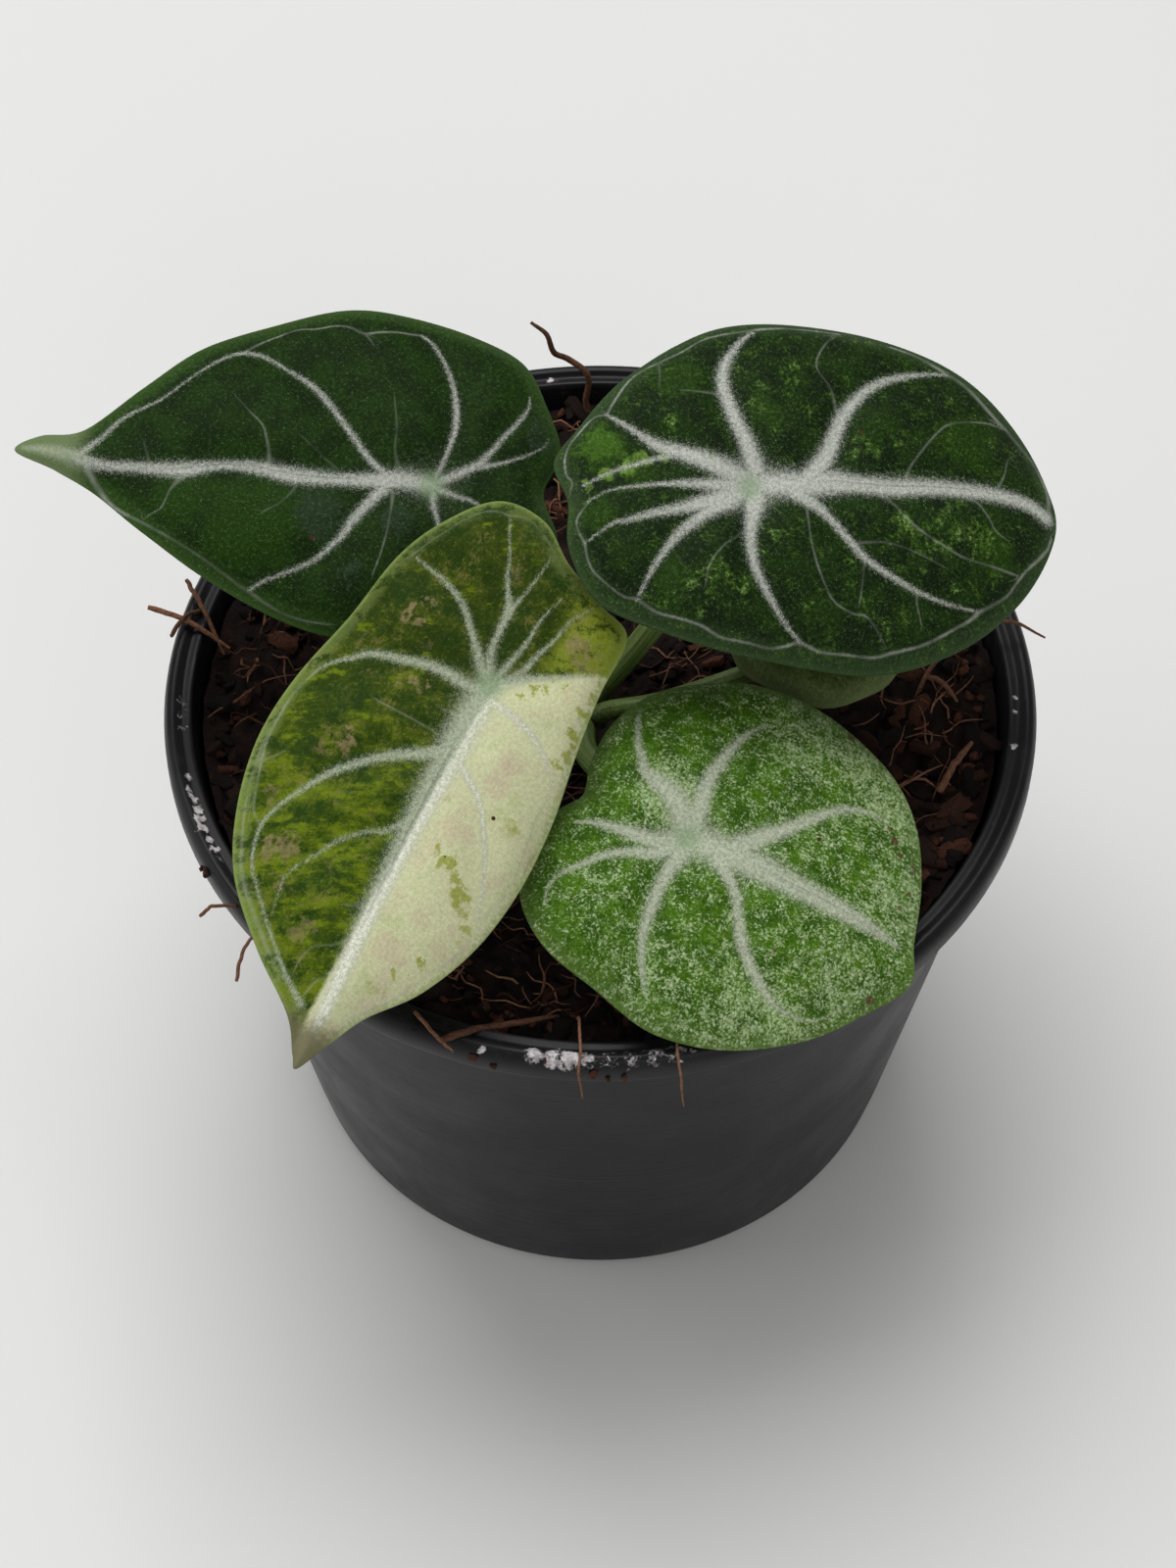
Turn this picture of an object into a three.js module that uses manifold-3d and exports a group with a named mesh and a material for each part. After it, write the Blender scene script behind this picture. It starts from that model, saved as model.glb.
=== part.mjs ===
// Potted aroid with five peltate leaves, in a tapered nursery pot of coir soil.
// Millimetres, +Z up. The origin is the centre of the pot's underside, on the
// surface that it stands on. The front is -Y and +X is to the right.
import * as THREE from 'three';
import { mergeVertices } from 'three/addons/utils/BufferGeometryUtils.js';
import Module from 'manifold-3d';

const wasm = await Module();
wasm.setup();

// Driving dimensions of the pot
const RIM_RADIUS = 50;            // outside of the rolled lip
const POT_HEIGHT = 69;            // underside to the top of the lip
const BASE_RADIUS = 37.3;         // outside, where the wall meets the foot
const LIP_HEIGHT = 4.2;
const LIP_WIDTH = 3.3;            // outside of the lip to the bore of the pot
const WALL = 1.3;
const FLOOR = 2.8;
const CHANNEL_RISE = 1.4;         // a ring under the floor stands clear of the ground
const CHANNEL_INNER = 13;
const CHANNEL_OUTER = 29;
const DRAIN_RADIUS = 3.5;
const DRAIN_COUNT = 6;
const POT_SIDES = 54;

// Driving dimensions of the soil
const GAP = 0.3;                  // clearance between neighbouring pieces
const SOIL_TOP = 65.6;            // mean height of the soil
const SOIL_RELIEF = 0.9;
const SOIL_SIDES = 48;
const SOIL_RINGS = 11;
const CHIP_COUNT = 40;
const FIBRE_COUNT = 12;
const FIBRE_WIDTH = 0.75;

// Driving dimensions of the plant
const BLADE = 0.8;                // thickness of a leaf
const CROWN = new THREE.Vector3(-3.5, -2.5, 0);
const CROWN_RADIUS = 5.6;
const CROWN_FOOT = 54;            // lowest point of the crown, in the soil
const CROWN_TOP = 69;
const STALK_SIDES = 8;
const STALK_STEPS = 11;

// Seeded random draw, the same on each run
function draw(seed) {
  let state = seed;
  return () => {
    state = (state + 0x6d2b79f5) | 0;
    let t = Math.imul(state ^ (state >>> 15), 1 | state);
    t = (t + Math.imul(t ^ (t >>> 7), 61 | t)) ^ t;
    return ((t ^ (t >>> 14)) >>> 0) / 4294967296;
  };
}

// Mesh and solid, one from the other
function toSolid(geometry) {
  const bare = geometry.clone();
  bare.deleteAttribute('normal');
  bare.deleteAttribute('uv');
  const merged = mergeVertices(bare, 1e-4);
  return new wasm.Manifold(new wasm.Mesh({
    numProp: 3,
    vertProperties: Float32Array.from(merged.attributes.position.array),
    triVerts: Uint32Array.from(merged.index.array),
  }));
}

function toGeometry(solid) {
  const { vertProperties, triVerts } = solid.getMesh();
  const geometry = new THREE.BufferGeometry();
  geometry.setAttribute('position', new THREE.BufferAttribute(vertProperties, 3));
  geometry.setIndex(new THREE.BufferAttribute(triVerts, 1));
  return geometry;
}

// A closed slab over a polar grid. place(column, ring, face) gives each point:
// ring 0 is the centre, face 0 is the upper side and face 1 the lower. Both
// faces are split into triangles alike.
function slab(columns, rings, place) {
  const positions = [];
  const index = [];
  const stride = 1 + columns * rings;
  for (let face = 0; face < 2; face += 1) {
    positions.push(...place(0, 0, face).toArray());
    for (let ring = 1; ring <= rings; ring += 1) {
      for (let column = 0; column < columns; column += 1) {
        positions.push(...place(column, ring, face).toArray());
      }
    }
  }
  const at = (column, ring, face) => (ring === 0
    ? face * stride
    : face * stride + 1 + (ring - 1) * columns + (column % columns));
  const add = (a, b, c, face) => index.push(...(face === 0 ? [a, b, c] : [a, c, b]));
  for (let face = 0; face < 2; face += 1) {
    for (let column = 0; column < columns; column += 1) {
      add(at(0, 0, face), at(column, 1, face), at(column + 1, 1, face), face);
      for (let ring = 1; ring < rings; ring += 1) {
        const [a, b] = [at(column, ring, face), at(column + 1, ring, face)];
        const [c, d] = [at(column, ring + 1, face), at(column + 1, ring + 1, face)];
        add(a, c, d, face);
        add(a, d, b, face);
      }
    }
  }
  for (let column = 0; column < columns; column += 1) {
    const [a, b] = [at(column, rings, 0), at(column + 1, rings, 0)];
    const [c, d] = [at(column, rings, 1), at(column + 1, rings, 1)];
    index.push(a, c, d, a, d, b);
  }
  const geometry = new THREE.BufferGeometry();
  geometry.setAttribute('position', new THREE.Float32BufferAttribute(positions, 3));
  geometry.setIndex(index);
  return geometry;
}

// Pot

const boreRadius = (z) => {
  const taper = (RIM_RADIUS - LIP_WIDTH - (BASE_RADIUS - WALL)) / POT_HEIGHT;
  return BASE_RADIUS - WALL + taper * z;
};

function potGeometry() {
  const wallTop = POT_HEIGHT - LIP_HEIGHT;
  const profile = [
    [0, 0],
    [CHANNEL_INNER, 0],
    [CHANNEL_INNER + 1, CHANNEL_RISE],
    [CHANNEL_OUTER - 1, CHANNEL_RISE],
    [CHANNEL_OUTER, 0],
    [BASE_RADIUS - 0.8, 0],
    [BASE_RADIUS, 0.8],
    [boreRadius(wallTop) + WALL, wallTop],
    [RIM_RADIUS - 0.7, wallTop],
    [RIM_RADIUS - 0.1, wallTop + 0.6],
    [RIM_RADIUS, POT_HEIGHT - 1.6],
    [RIM_RADIUS - 0.5, POT_HEIGHT - 0.5],
    [RIM_RADIUS - 1.4, POT_HEIGHT],
    [boreRadius(POT_HEIGHT) + 0.5, POT_HEIGHT],
    [boreRadius(POT_HEIGHT - 0.6), POT_HEIGHT - 0.6],
    [boreRadius(FLOOR), FLOOR],
    [0, FLOOR],
  ].map(([r, z]) => new THREE.Vector2(r, z));
  const body = new THREE.LatheGeometry(profile, POT_SIDES);
  body.rotateX(Math.PI / 2);
  let solid = toSolid(body);
  for (let hole = 0; hole < DRAIN_COUNT; hole += 1) {
    const drill = new THREE.CylinderGeometry(DRAIN_RADIUS, DRAIN_RADIUS, 8, 14);
    drill.rotateX(Math.PI / 2);
    drill.translate((CHANNEL_INNER + CHANNEL_OUTER) / 2, 0, FLOOR / 2);
    drill.rotateZ((hole / DRAIN_COUNT) * 2 * Math.PI);
    solid = solid.subtract(toSolid(drill));
  }
  return toGeometry(solid);
}

// Soil: a filling of coir with a rough top, chips and fibres sunk into it

function soilHeight(x, y) {
  const coarse = Math.sin(0.33 * x + 1.2) * Math.cos(0.29 * y - 0.6);
  const middle = Math.sin(0.71 * x - 0.4 * y) * Math.cos(0.63 * y + 0.5 * x + 1);
  const fine = Math.sin(1.5 * x + 0.8 * y) * Math.sin(1.3 * y - 1.1 * x + 0.7);
  return SOIL_TOP + SOIL_RELIEF * (0.5 * coarse + 0.45 * middle + 0.35 * fine);
}

function soilBed() {
  const floor = FLOOR + GAP;
  const reach = boreRadius(SOIL_TOP) - GAP - 0.1;
  const profile = [[0, floor], [boreRadius(floor) - GAP - 0.1, floor]];
  for (let ring = SOIL_RINGS; ring >= 0; ring -= 1) {
    profile.push([(reach * ring) / SOIL_RINGS, SOIL_TOP]);
  }
  const bed = new THREE.LatheGeometry(
    profile.map(([r, z]) => new THREE.Vector2(r, z)), SOIL_SIDES);
  bed.rotateX(Math.PI / 2);
  const place = bed.attributes.position;
  for (let k = 0; k < place.count; k += 1) {
    if (place.getZ(k) > floor + 1) {
      place.setZ(k, soilHeight(place.getX(k), place.getY(k)));
    }
  }
  return bed;
}

function soilChips() {
  const random = draw(11);
  const chips = [];
  while (chips.length < CHIP_COUNT) {
    const radius = 42.5 * Math.sqrt(random());
    const angle = 2 * Math.PI * random();
    const [x, y] = [radius * Math.cos(angle), radius * Math.sin(angle)];
    const size = [2.2 + 3 * random(), 1.2 + 1.4 * random(), 1 + 0.8 * random()];
    const turn = new THREE.Euler(0.7 * random(), 0.7 * random(), 6.3 * random());
    if (Math.hypot(x - CROWN.x, y - CROWN.y) > CROWN_RADIUS + 5) {
      const chip = new THREE.BoxGeometry(...size);
      chip.applyMatrix4(new THREE.Matrix4().makeRotationFromEuler(turn));
      chip.translate(x, y, soilHeight(x, y) + 0.1);
      chips.push(chip);
    }
  }
  return chips;
}

// A thin fibre through its points, with three sides
function fibre(points, width, steps) {
  const curve = new THREE.CatmullRomCurve3(points.map((p) => new THREE.Vector3(...p)));
  const section = new THREE.Shape();
  for (let side = 0; side < 3; side += 1) {
    const angle = (side / 3) * 2 * Math.PI;
    const corner = [0.6 * width * Math.cos(angle), 0.6 * width * Math.sin(angle)];
    if (side === 0) section.moveTo(...corner);
    else section.lineTo(...corner);
  }
  return new THREE.ExtrudeGeometry(section, { steps, extrudePath: curve });
}

function looseFibres() {
  const random = draw(23);
  const fibres = [];
  while (fibres.length < FIBRE_COUNT) {
    const radius = 14 + 24 * random();
    const angle = 2 * Math.PI * random();
    const heading = 2 * Math.PI * random();
    const reach = 5 + 6 * random();
    const rise = 1 + 1.6 * random();
    const bend = 4 * (random() - 0.5);
    const start = [radius * Math.cos(angle), radius * Math.sin(angle)];
    const points = [0, 0.3, 0.65, 1].map((t) => {
      const side = bend * Math.sin(Math.PI * t);
      const x = start[0] + reach * t * Math.cos(heading) - side * Math.sin(heading);
      const y = start[1] + reach * t * Math.sin(heading) + side * Math.cos(heading);
      return [x, y, soilHeight(x, y) - 1.2 + (rise + 1.2) * Math.sin(Math.PI * t)];
    });
    if (points.every(([x, y]) => Math.hypot(x, y) < 43.5
      && Math.hypot(x - CROWN.x, y - CROWN.y) > CROWN_RADIUS + 2)) {
      fibres.push(fibre(points, FIBRE_WIDTH, 5));
    }
  }
  return fibres;
}

// Roots that rise from the soil and lean out over the rim
const STRAY_ROOTS = [
  [[-1, 43.4, 64], [-1.6, 44.4, 68], [-1.4, 44.8, 72], [-3.6, 45.6, 74.2],
    [-5.4, 45, 76], [-6.4, 45.2, 79.2], [-8.2, 45.6, 80.8]],
  [[36, 1, 64.5], [38.6, 4.4, 68.2], [42.6, 7.4, 70.4], [47, 8, 71.4], [51.2, 6, 70.8]],
  [[-35.6, 19.2, 64.5], [-38.6, 20.2, 68.6], [-42.6, 21.2, 70.8], [-47.4, 22.8, 71.2],
    [-50.8, 24.2, 70.6]],
  [[-2.6, -41.6, 64.5], [-2.4, -44.4, 69.4], [-2.2, -48, 71], [-2.4, -51.2, 69.6],
    [-2, -52.4, 66]],
  [[7.6, -41.8, 64.5], [7.7, -44.2, 68.2], [8, -47.2, 69.9], [8.3, -50.4, 69.7],
    [8.6, -51.7, 67], [8.9, -51.9, 63.6]],
];

function soilGeometry() {
  let solid = toSolid(soilBed());
  const stray = STRAY_ROOTS.map((points) => fibre(points, FIBRE_WIDTH, 10));
  for (const piece of [...soilChips(), ...looseFibres(), ...stray]) {
    solid = solid.add(toSolid(piece));
  }
  const well = new THREE.CylinderGeometry(
    CROWN_RADIUS + GAP, CROWN_RADIUS + GAP, POT_HEIGHT, 24);
  well.rotateX(Math.PI / 2);
  well.translate(CROWN.x, CROWN.y, CROWN_FOOT - GAP + POT_HEIGHT / 2);
  return toGeometry(solid.subtract(toSolid(well)));
}

// Crown: the short stem that the leaf stalks grow from

function crownSolid(clearance) {
  const profile = [
    [0, CROWN_FOOT - clearance], [3.4 + clearance, CROWN_FOOT - clearance],
    [5 + clearance, CROWN_FOOT + 2.5], [CROWN_RADIUS + clearance, CROWN_FOOT + 7],
    [CROWN_RADIUS - 0.3 + clearance, CROWN_TOP - 3], [4.9 + clearance, CROWN_TOP - 1.4],
    [3.8 + clearance, CROWN_TOP - 0.4 + clearance], [0, CROWN_TOP + clearance],
  ].map(([r, z]) => new THREE.Vector2(r, z));
  const body = new THREE.LatheGeometry(profile, 18);
  body.rotateX(Math.PI / 2);
  body.translate(CROWN.x, CROWN.y, 0);
  return toSolid(body);
}

// Leaf blades. Each lies in its own plane: u runs from the attachment to the
// tip, v to the left of it and w out of the upper face. The outline starts at
// the tip and goes round through +v. Veins start near the attachment.

const LEAVES = {
  left: {
    attachment: [-18.5, 6.5, 98],
    heading: 178, pitch: 4, roll: -18,
    outline: [
      [45.6, -1], [41, 1], [36.6, 3.2], [31, 7.4], [24.5, 11.7], [17, 15.2],
      [10, 17.2], [3, 17.6], [-4, 16.4], [-9.5, 13.6], [-13, 9.4], [-14.2, 4.6],
      [-12.4, -0.6], [-14, -5.6], [-12.2, -10.8], [-9.2, -16.3], [-3.6, -19.2],
      [4, -20.9], [11, -21.2], [18.5, -18.9], [26, -15.2], [32.2, -9.5], [38.2, -4.2],
      [43, -3.2],
    ],
    fall: { tip: 1, back: 1.5, left: 3, right: 2 },
    reach: { tip: 46, back: 14, left: 19, right: 19 },
    veins: [
      [[0, 0], [21, -0.3], [44, -0.7]],
      [[6, -0.9], [9.4, -5.8], [13.6, -10.5], [20.5, -14.4]],
      [[-0.4, -0.9], [-2.2, -7], [-0.8, -13.9], [1.8, -17.9]],
      [[-3.3, -1.7], [-7.8, -5.4], [-10.3, -10.4]],
      [[5.8, 1.6], [9.3, 6.5], [13.6, 10.9], [19, 13]],
      [[-0.6, 0.8], [-2.2, 6], [-1, 12], [1, 15.6]],
      [[-2.2, 1], [-7, 4.4], [-10, 9]],
    ],
  },
  right: {
    attachment: [16, 0.4, 105],
    heading: 4, pitch: -12, roll: 18,
    outline: [
      [36.7, 0], [36, 5.4], [33.5, 10.8], [28.8, 15.3], [22.4, 18.6], [14.5, 20.6],
      [6, 20.6], [-2, 19.2], [-7.6, 16.6], [-12.6, 12.8], [-15.4, 9.8], [-18, 6.4],
      [-20.6, 2.4], [-19.3, -2.4], [-19.1, -7.4], [-16, -12.6], [-10.6, -15.4],
      [-3.6, -17.4], [5, -18.3], [14, -18.6], [20.4, -17.1], [27.4, -13.1],
      [33.4, -7],
    ],
    fall: { tip: 6, back: 3, left: 2, right: 4.5 },
    reach: { tip: 36, back: 22, left: 21, right: 21 },
    veins: [
      [[0, 0], [9, 1.4], [22, 2.5], [36, 1.9]],
      [[0.3, 0.8], [-1.6, 8], [-2.4, 13.2], [1.2, 19]],
      [[7.8, 1.4], [11, 10], [16, 14.4], [24.9, 16.8]],
      [[-0.3, 1], [-6.2, 3.1], [-15.3, 7.4]],
      [[-10, 2.2], [-19.2, -0.2]],
      [[-6.2, 0], [-14.5, -0.9], [-18.6, -5.4]],
      [[-4, -2.2], [-12.4, -4.3], [-17.6, -7.2]],
      [[-2, -2.2], [-7.1, -5.1], [-11.9, -13]],
      [[0, -2.2], [-0.2, -7.6], [2.3, -12.3], [5.7, -16.4]],
      [[7.2, -1], [13.9, -7.2], [19.6, -9.8], [26.6, -10.9]],
    ],
  },
  front_left: {
    attachment: [-11.8, -18.6, 95],
    heading: 240, pitch: -16, roll: -8,
    outline: [
      [45.4, 2.2], [42, 3.7], [37.4, 5.6], [32, 9.4], [25.3, 11.9], [17.5, 12.8],
      [9, 12.4], [1, 11.1], [-5.8, 10.2], [-12.4, 9.8], [-13.6, 6],
      [-15.6, 1], [-18.6, -3.6], [-18.4, -9], [-13.7, -13.4], [-8, -16.3],
      [0, -17.6], [8.5, -19.1], [16.5, -19.3], [24, -17.5], [30.6, -13.9],
      [36.4, -7.7], [40.8, -1.6], [44.2, 1],
    ],
    fall: { tip: 2.5, back: -2.5, left: 7, right: 1.5 },
    reach: { tip: 45, back: 19, left: 16, right: 19 },
    veins: [
      [[0, 0], [17, 0.2], [30, 0.9], [44, 2.1]],
      [[0.1, -1], [1, -9.6], [5.4, -15.7], [13.9, -18.4]],
      [[9, -0.5], [12.3, -5.6], [17.4, -10.2], [25, -13.6]],
      [[18, 0], [20.5, -3.9], [24.8, -6.6], [29, -8.2]],
      [[-2.1, -2.6], [-5.8, -7.1], [-8.6, -14.1]],
      [[-2, -0.8], [-9.7, -3.1], [-16.9, -7.1]],
      [[-0.6, 0.2], [-11.6, 2.4]],
      [[-0.3, 1], [-3.3, 4.4], [-6.9, 9.2]],
      [[9.1, 1], [13.6, 6.6], [18.2, 9.9]],
    ],
  },
  front_right: {
    attachment: [9.4, -29.2, 82],
    heading: -25, pitch: -17, roll: 9,
    outline: [
      [29, -0.6], [27.4, 3.8], [25.4, 10], [21.7, 15.9], [16, 20.4], [8, 22.5],
      [0.6, 21.4], [-5.2, 18.9], [-10.6, 14.4], [-13, 8.4], [-13, 3.2],
      [-12, -0.6], [-13.6, -4], [-14, -9.4], [-12, -14.2], [-7, -17.8],
      [0, -19], [7.4, -19.6], [15, -17.3], [21.6, -12.2], [26, -6.2],
    ],
    fall: { tip: 3.5, back: 2.5, left: 2.5, right: 4.5 },
    reach: { tip: 29, back: 14, left: 22, right: 22 },
    veins: [
      [[0, 0], [8.6, 0.5], [16, 2.2], [24, 2.6]],
      [[-0.1, 0.8], [-0.8, 9], [1.7, 16]],
      [[7, 1.8], [10.8, 9.5], [17.6, 14.7]],
      [[-2, 1], [-7.5, 4], [-10.7, 9.6]],
      [[-2, -0.8], [-8.9, -3.4], [-12, -5.5]],
      [[-1, -1.4], [-5.8, -6.1], [-9.5, -11.5]],
      [[0.2, -1.6], [0.1, -8.6], [1.4, -13.6]],
      [[5, -0.4], [9.5, -5.5], [13.4, -8.8]],
    ],
  },
  small: {
    attachment: [24, 1.8, 80],
    heading: -20, pitch: -9, roll: 6,
    outline: [
      [11, 0], [9.4, 4.4], [6, 8], [0.6, 9.4], [-4.8, 8.2], [-8.2, 4.2],
      [-7.4, 0], [-8.6, -4.2], [-5.2, -8.4], [0.8, -9.6], [6.4, -8], [9.8, -4.2],
    ],
    fall: { tip: 1.4, back: 0.8, left: 1.2, right: 1.2 },
    reach: { tip: 11, back: 9, left: 10, right: 10 },
    veins: [
      [[0, 0], [10, 0]],
      [[0, 0.4], [2.6, 4], [6, 6.4]],
      [[0, -0.4], [2.6, -4], [6, -6.2]],
      [[-0.6, 0.4], [-4.6, 5]],
      [[-0.6, -0.4], [-4.6, -5]],
    ],
  },
};

// Relief of every blade, over the fall towards its edges
const DIMPLE_DEPTH = 0.9;         // the blade dips where its stalk joins
const DIMPLE_RADIUS = 3.2;
const PILLOW_HEIGHT = 0.9;        // the blade swells between its veins
const PILLOW_SPREAD = 2.6;
const EDGE_ROLL = 1.1;            // the margin turns down
const EDGE_WAVE = 0.45;
const RINGS = [0, 0.14, 0.34, 0.56, 0.77, 0.93, 1];
const EDGE_STEPS = 3;             // columns from one outline point to the next

function segmentDistance(u, v, [u0, v0], [u1, v1]) {
  const [du, dv] = [u1 - u0, v1 - v0];
  const t = ((u - u0) * du + (v - v0) * dv) / (du * du + dv * dv);
  const near = Math.min(1, Math.max(0, t));
  return Math.hypot(u - u0 - near * du, v - v0 - near * dv);
}

function veinDistance(veins, u, v) {
  let nearest = Infinity;
  for (const vein of veins) {
    for (let k = 1; k < vein.length; k += 1) {
      nearest = Math.min(nearest, segmentDistance(u, v, vein[k - 1], vein[k]));
    }
  }
  return nearest;
}

function bladeHeight(leaf, u, v, s, turn) {
  const { fall, reach, veins } = leaf;
  const along = u > 0 ? fall.tip * (u / reach.tip) ** 2 : fall.back * (u / reach.back) ** 2;
  const across = v > 0 ? fall.left * (v / reach.left) ** 2 : fall.right * (v / reach.right) ** 2;
  const dimple = DIMPLE_DEPTH * Math.exp(-(u * u + v * v) / DIMPLE_RADIUS ** 2);
  const near = veinDistance(veins, u, v) / PILLOW_SPREAD;
  const pillow = PILLOW_HEIGHT * (1 - Math.exp(-near * near)) * (1 - s ** 6);
  const wave = EDGE_WAVE * Math.sin(7 * turn * 2 * Math.PI + 1) * s ** 4;
  return pillow + wave - along - across - dimple - EDGE_ROLL * s ** 12;
}

function bladeFrame({ heading, pitch, roll }) {
  const [h, p, r] = [heading, pitch, roll].map(THREE.MathUtils.degToRad);
  const along = new THREE.Vector3(
    Math.cos(p) * Math.cos(h), Math.cos(p) * Math.sin(h), Math.sin(p));
  const level = new THREE.Vector3(-Math.sin(h), Math.cos(h), 0);
  const up = new THREE.Vector3().crossVectors(along, level);
  const across = level.multiplyScalar(Math.cos(r)).addScaledVector(up, Math.sin(r));
  const out = new THREE.Vector3().crossVectors(along, across);
  return { along, across, out };
}

function bladePoint(leaf, u, v, w) {
  const { along, across, out } = bladeFrame(leaf);
  return new THREE.Vector3(...leaf.attachment)
    .addScaledVector(along, u).addScaledVector(across, v).addScaledVector(out, w);
}

function bladeGeometry(leaf, clearance = 0) {
  const edge = new THREE.CatmullRomCurve3(
    leaf.outline.map(([u, v]) => new THREE.Vector3(u, v, 0)), true, 'catmullrom', 0.5);
  const columns = leaf.outline.length * EDGE_STEPS;
  const margin = Array.from({ length: columns }, (_, k) => edge.getPoint(k / columns));
  return slab(columns, RINGS.length - 1, (column, ring, face) => {
    const s = RINGS[ring];
    const [u, v] = [s * margin[column].x, s * margin[column].y];
    const w = bladeHeight(leaf, u, v, s, column / columns);
    const side = face === 0 ? 4 * clearance : -BLADE - clearance;
    return bladePoint(leaf, u, v, w + side);
  });
}

// Leaf stalks: tapered rods bent from the crown to the underside of a blade,
// each trimmed to the crown and to its blade

const STALKS = {
  left: { foot: 160, via: [[-10.4, 0.2, 79], [-15.8, 3.2, 92]] },
  right: { foot: 30, via: [[4.1, 0.8, 76], [12, 2, 91]] },
  front_left: { foot: 235, via: [[-8.4, -9.2, 78], [-11.2, -15.2, 87]] },
  front_right: { foot: 290, via: [[-1.2, -12.2, 72.4], [4.6, -21.4, 76]] },
  small: { foot: 340, via: [[7.4, -3.8, 72], [18.6, -0.8, 74.6]] },
};
const STALK_FOOT_RADIUS = 1.5;
const STALK_TOP_RADIUS = 1.2;
const STALK_SPREAD = 4.3;         // the stalks leave the crown on this radius

function stalkGeometry(name) {
  const { foot, via } = STALKS[name];
  const angle = THREE.MathUtils.degToRad(foot);
  const onCrown = (radius, z) => new THREE.Vector3(
    CROWN.x + radius * Math.cos(angle), CROWN.y + radius * Math.sin(angle), z);
  const curve = new THREE.CatmullRomCurve3([
    onCrown(STALK_SPREAD - 1.4, CROWN_TOP - 3), onCrown(STALK_SPREAD, CROWN_TOP + 1),
    ...via.map((p) => new THREE.Vector3(...p)), bladePoint(LEAVES[name], 0, 0, -1)]);
  const frames = curve.computeFrenetFrames(STALK_STEPS, false);
  const profile = [[0, 0]];
  for (let step = 0; step <= STALK_STEPS; step += 1) {
    const t = step / STALK_STEPS;
    profile.push([THREE.MathUtils.lerp(STALK_FOOT_RADIUS, STALK_TOP_RADIUS, t), step]);
  }
  profile.push([0, STALK_STEPS]);
  const rod = new THREE.LatheGeometry(
    profile.map(([r, y]) => new THREE.Vector2(r, y)), STALK_SIDES);
  const place = rod.attributes.position;
  for (let k = 0; k < place.count; k += 1) {
    const step = Math.round(place.getY(k));
    const point = curve.getPointAt(step / STALK_STEPS)
      .addScaledVector(frames.normals[step], place.getZ(k))
      .addScaledVector(frames.binormals[step], place.getX(k));
    place.setXYZ(k, point.x, point.y, point.z);
  }
  const trimmed = toSolid(rod).subtract(crownSolid(GAP))
    .subtract(toSolid(bladeGeometry(LEAVES[name], GAP)));
  return toGeometry(trimmed);
}

// Colours and finishes
const finish = (color, roughness) => new THREE.MeshStandardMaterial(
  { color, roughness, metalness: 0 });
const MATERIALS = {
  pot: finish('#111214', 0.4),
  soil: finish('#2b1a12', 0.95),
  crown: finish('#7c8a4a', 0.7),
  stalk: finish('#9db36b', 0.6),
  left: finish('#1f4a1c', 0.6),
  right: finish('#1d4226', 0.6),
  front_left: finish('#8d9a45', 0.6),
  front_right: finish('#4c7c33', 0.6),
  small: finish('#7d9550', 0.6),
};

const plant = new THREE.Group();
function addPiece(name, geometry, material) {
  const mesh = new THREE.Mesh(geometry, material);
  mesh.name = name;
  plant.add(mesh);
}

addPiece('pot', potGeometry(), MATERIALS.pot);
addPiece('soil', soilGeometry(), MATERIALS.soil);
addPiece('crown', toGeometry(crownSolid(0)), MATERIALS.crown);
for (const [name, leaf] of Object.entries(LEAVES)) {
  addPiece(`stalk_${name}`, stalkGeometry(name), MATERIALS.stalk);
  addPiece(`leaf_${name}`, bladeGeometry(leaf), MATERIALS[name]);
}

export default plant;
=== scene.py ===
# %% [markdown]
# # A small alocasia in its nursery pot
#
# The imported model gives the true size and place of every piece: a black pot, the
# coir that fills it, a short crown, and five leaves on slim stalks. Here each of
# them is modelled again with finer faces, in the same place, and gets its finish.
# Everything is in metres, with +Z up and the front towards -Y. The dimensions
# below are written in millimetres, as the plant was measured, and times MM.

import math
import random

import bpy
import numpy as np
from mathutils import Matrix, Vector, noise


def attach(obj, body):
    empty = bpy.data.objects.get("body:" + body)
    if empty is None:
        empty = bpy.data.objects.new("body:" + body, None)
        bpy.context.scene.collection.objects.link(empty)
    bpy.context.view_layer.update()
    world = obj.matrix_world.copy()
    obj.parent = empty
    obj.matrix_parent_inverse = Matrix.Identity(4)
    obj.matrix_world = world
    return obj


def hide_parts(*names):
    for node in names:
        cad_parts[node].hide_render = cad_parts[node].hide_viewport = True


MM = 0.001

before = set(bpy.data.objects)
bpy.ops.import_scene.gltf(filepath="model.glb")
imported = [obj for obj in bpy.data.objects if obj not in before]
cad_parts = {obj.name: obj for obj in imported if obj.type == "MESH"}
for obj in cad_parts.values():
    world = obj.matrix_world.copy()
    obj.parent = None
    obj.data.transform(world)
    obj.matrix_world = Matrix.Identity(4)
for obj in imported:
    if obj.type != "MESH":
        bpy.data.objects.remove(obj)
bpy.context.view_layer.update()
print("solids in the frame:", sorted(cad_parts))

# %% [markdown]
# ## Camera
#
# The photograph looks down on the pot at about 55 degrees from just in front of
# it. The two ellipses of the rim and the foot of the pot fix the height, the
# distance and the tilt, so the camera is set once from those and then left alone.

# %% Camera
CAMERA_PLACE = (-1.403 * MM, -253.221 * MM, 409.091 * MM)
CAMERA_TILT = 54.799                    # degrees below the horizontal
LENS = 85                               # focal length
SENSOR = 36                             # width

bpy.ops.object.camera_add(location=CAMERA_PLACE, rotation=(math.radians(90 - CAMERA_TILT), 0, 0))
camera = bpy.context.object
camera.data.lens = LENS
camera.data.sensor_width = SENSOR
camera.data.clip_start = 0.01
bpy.context.scene.camera = camera
print("camera at", [round(v, 4) for v in camera.location])

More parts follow.
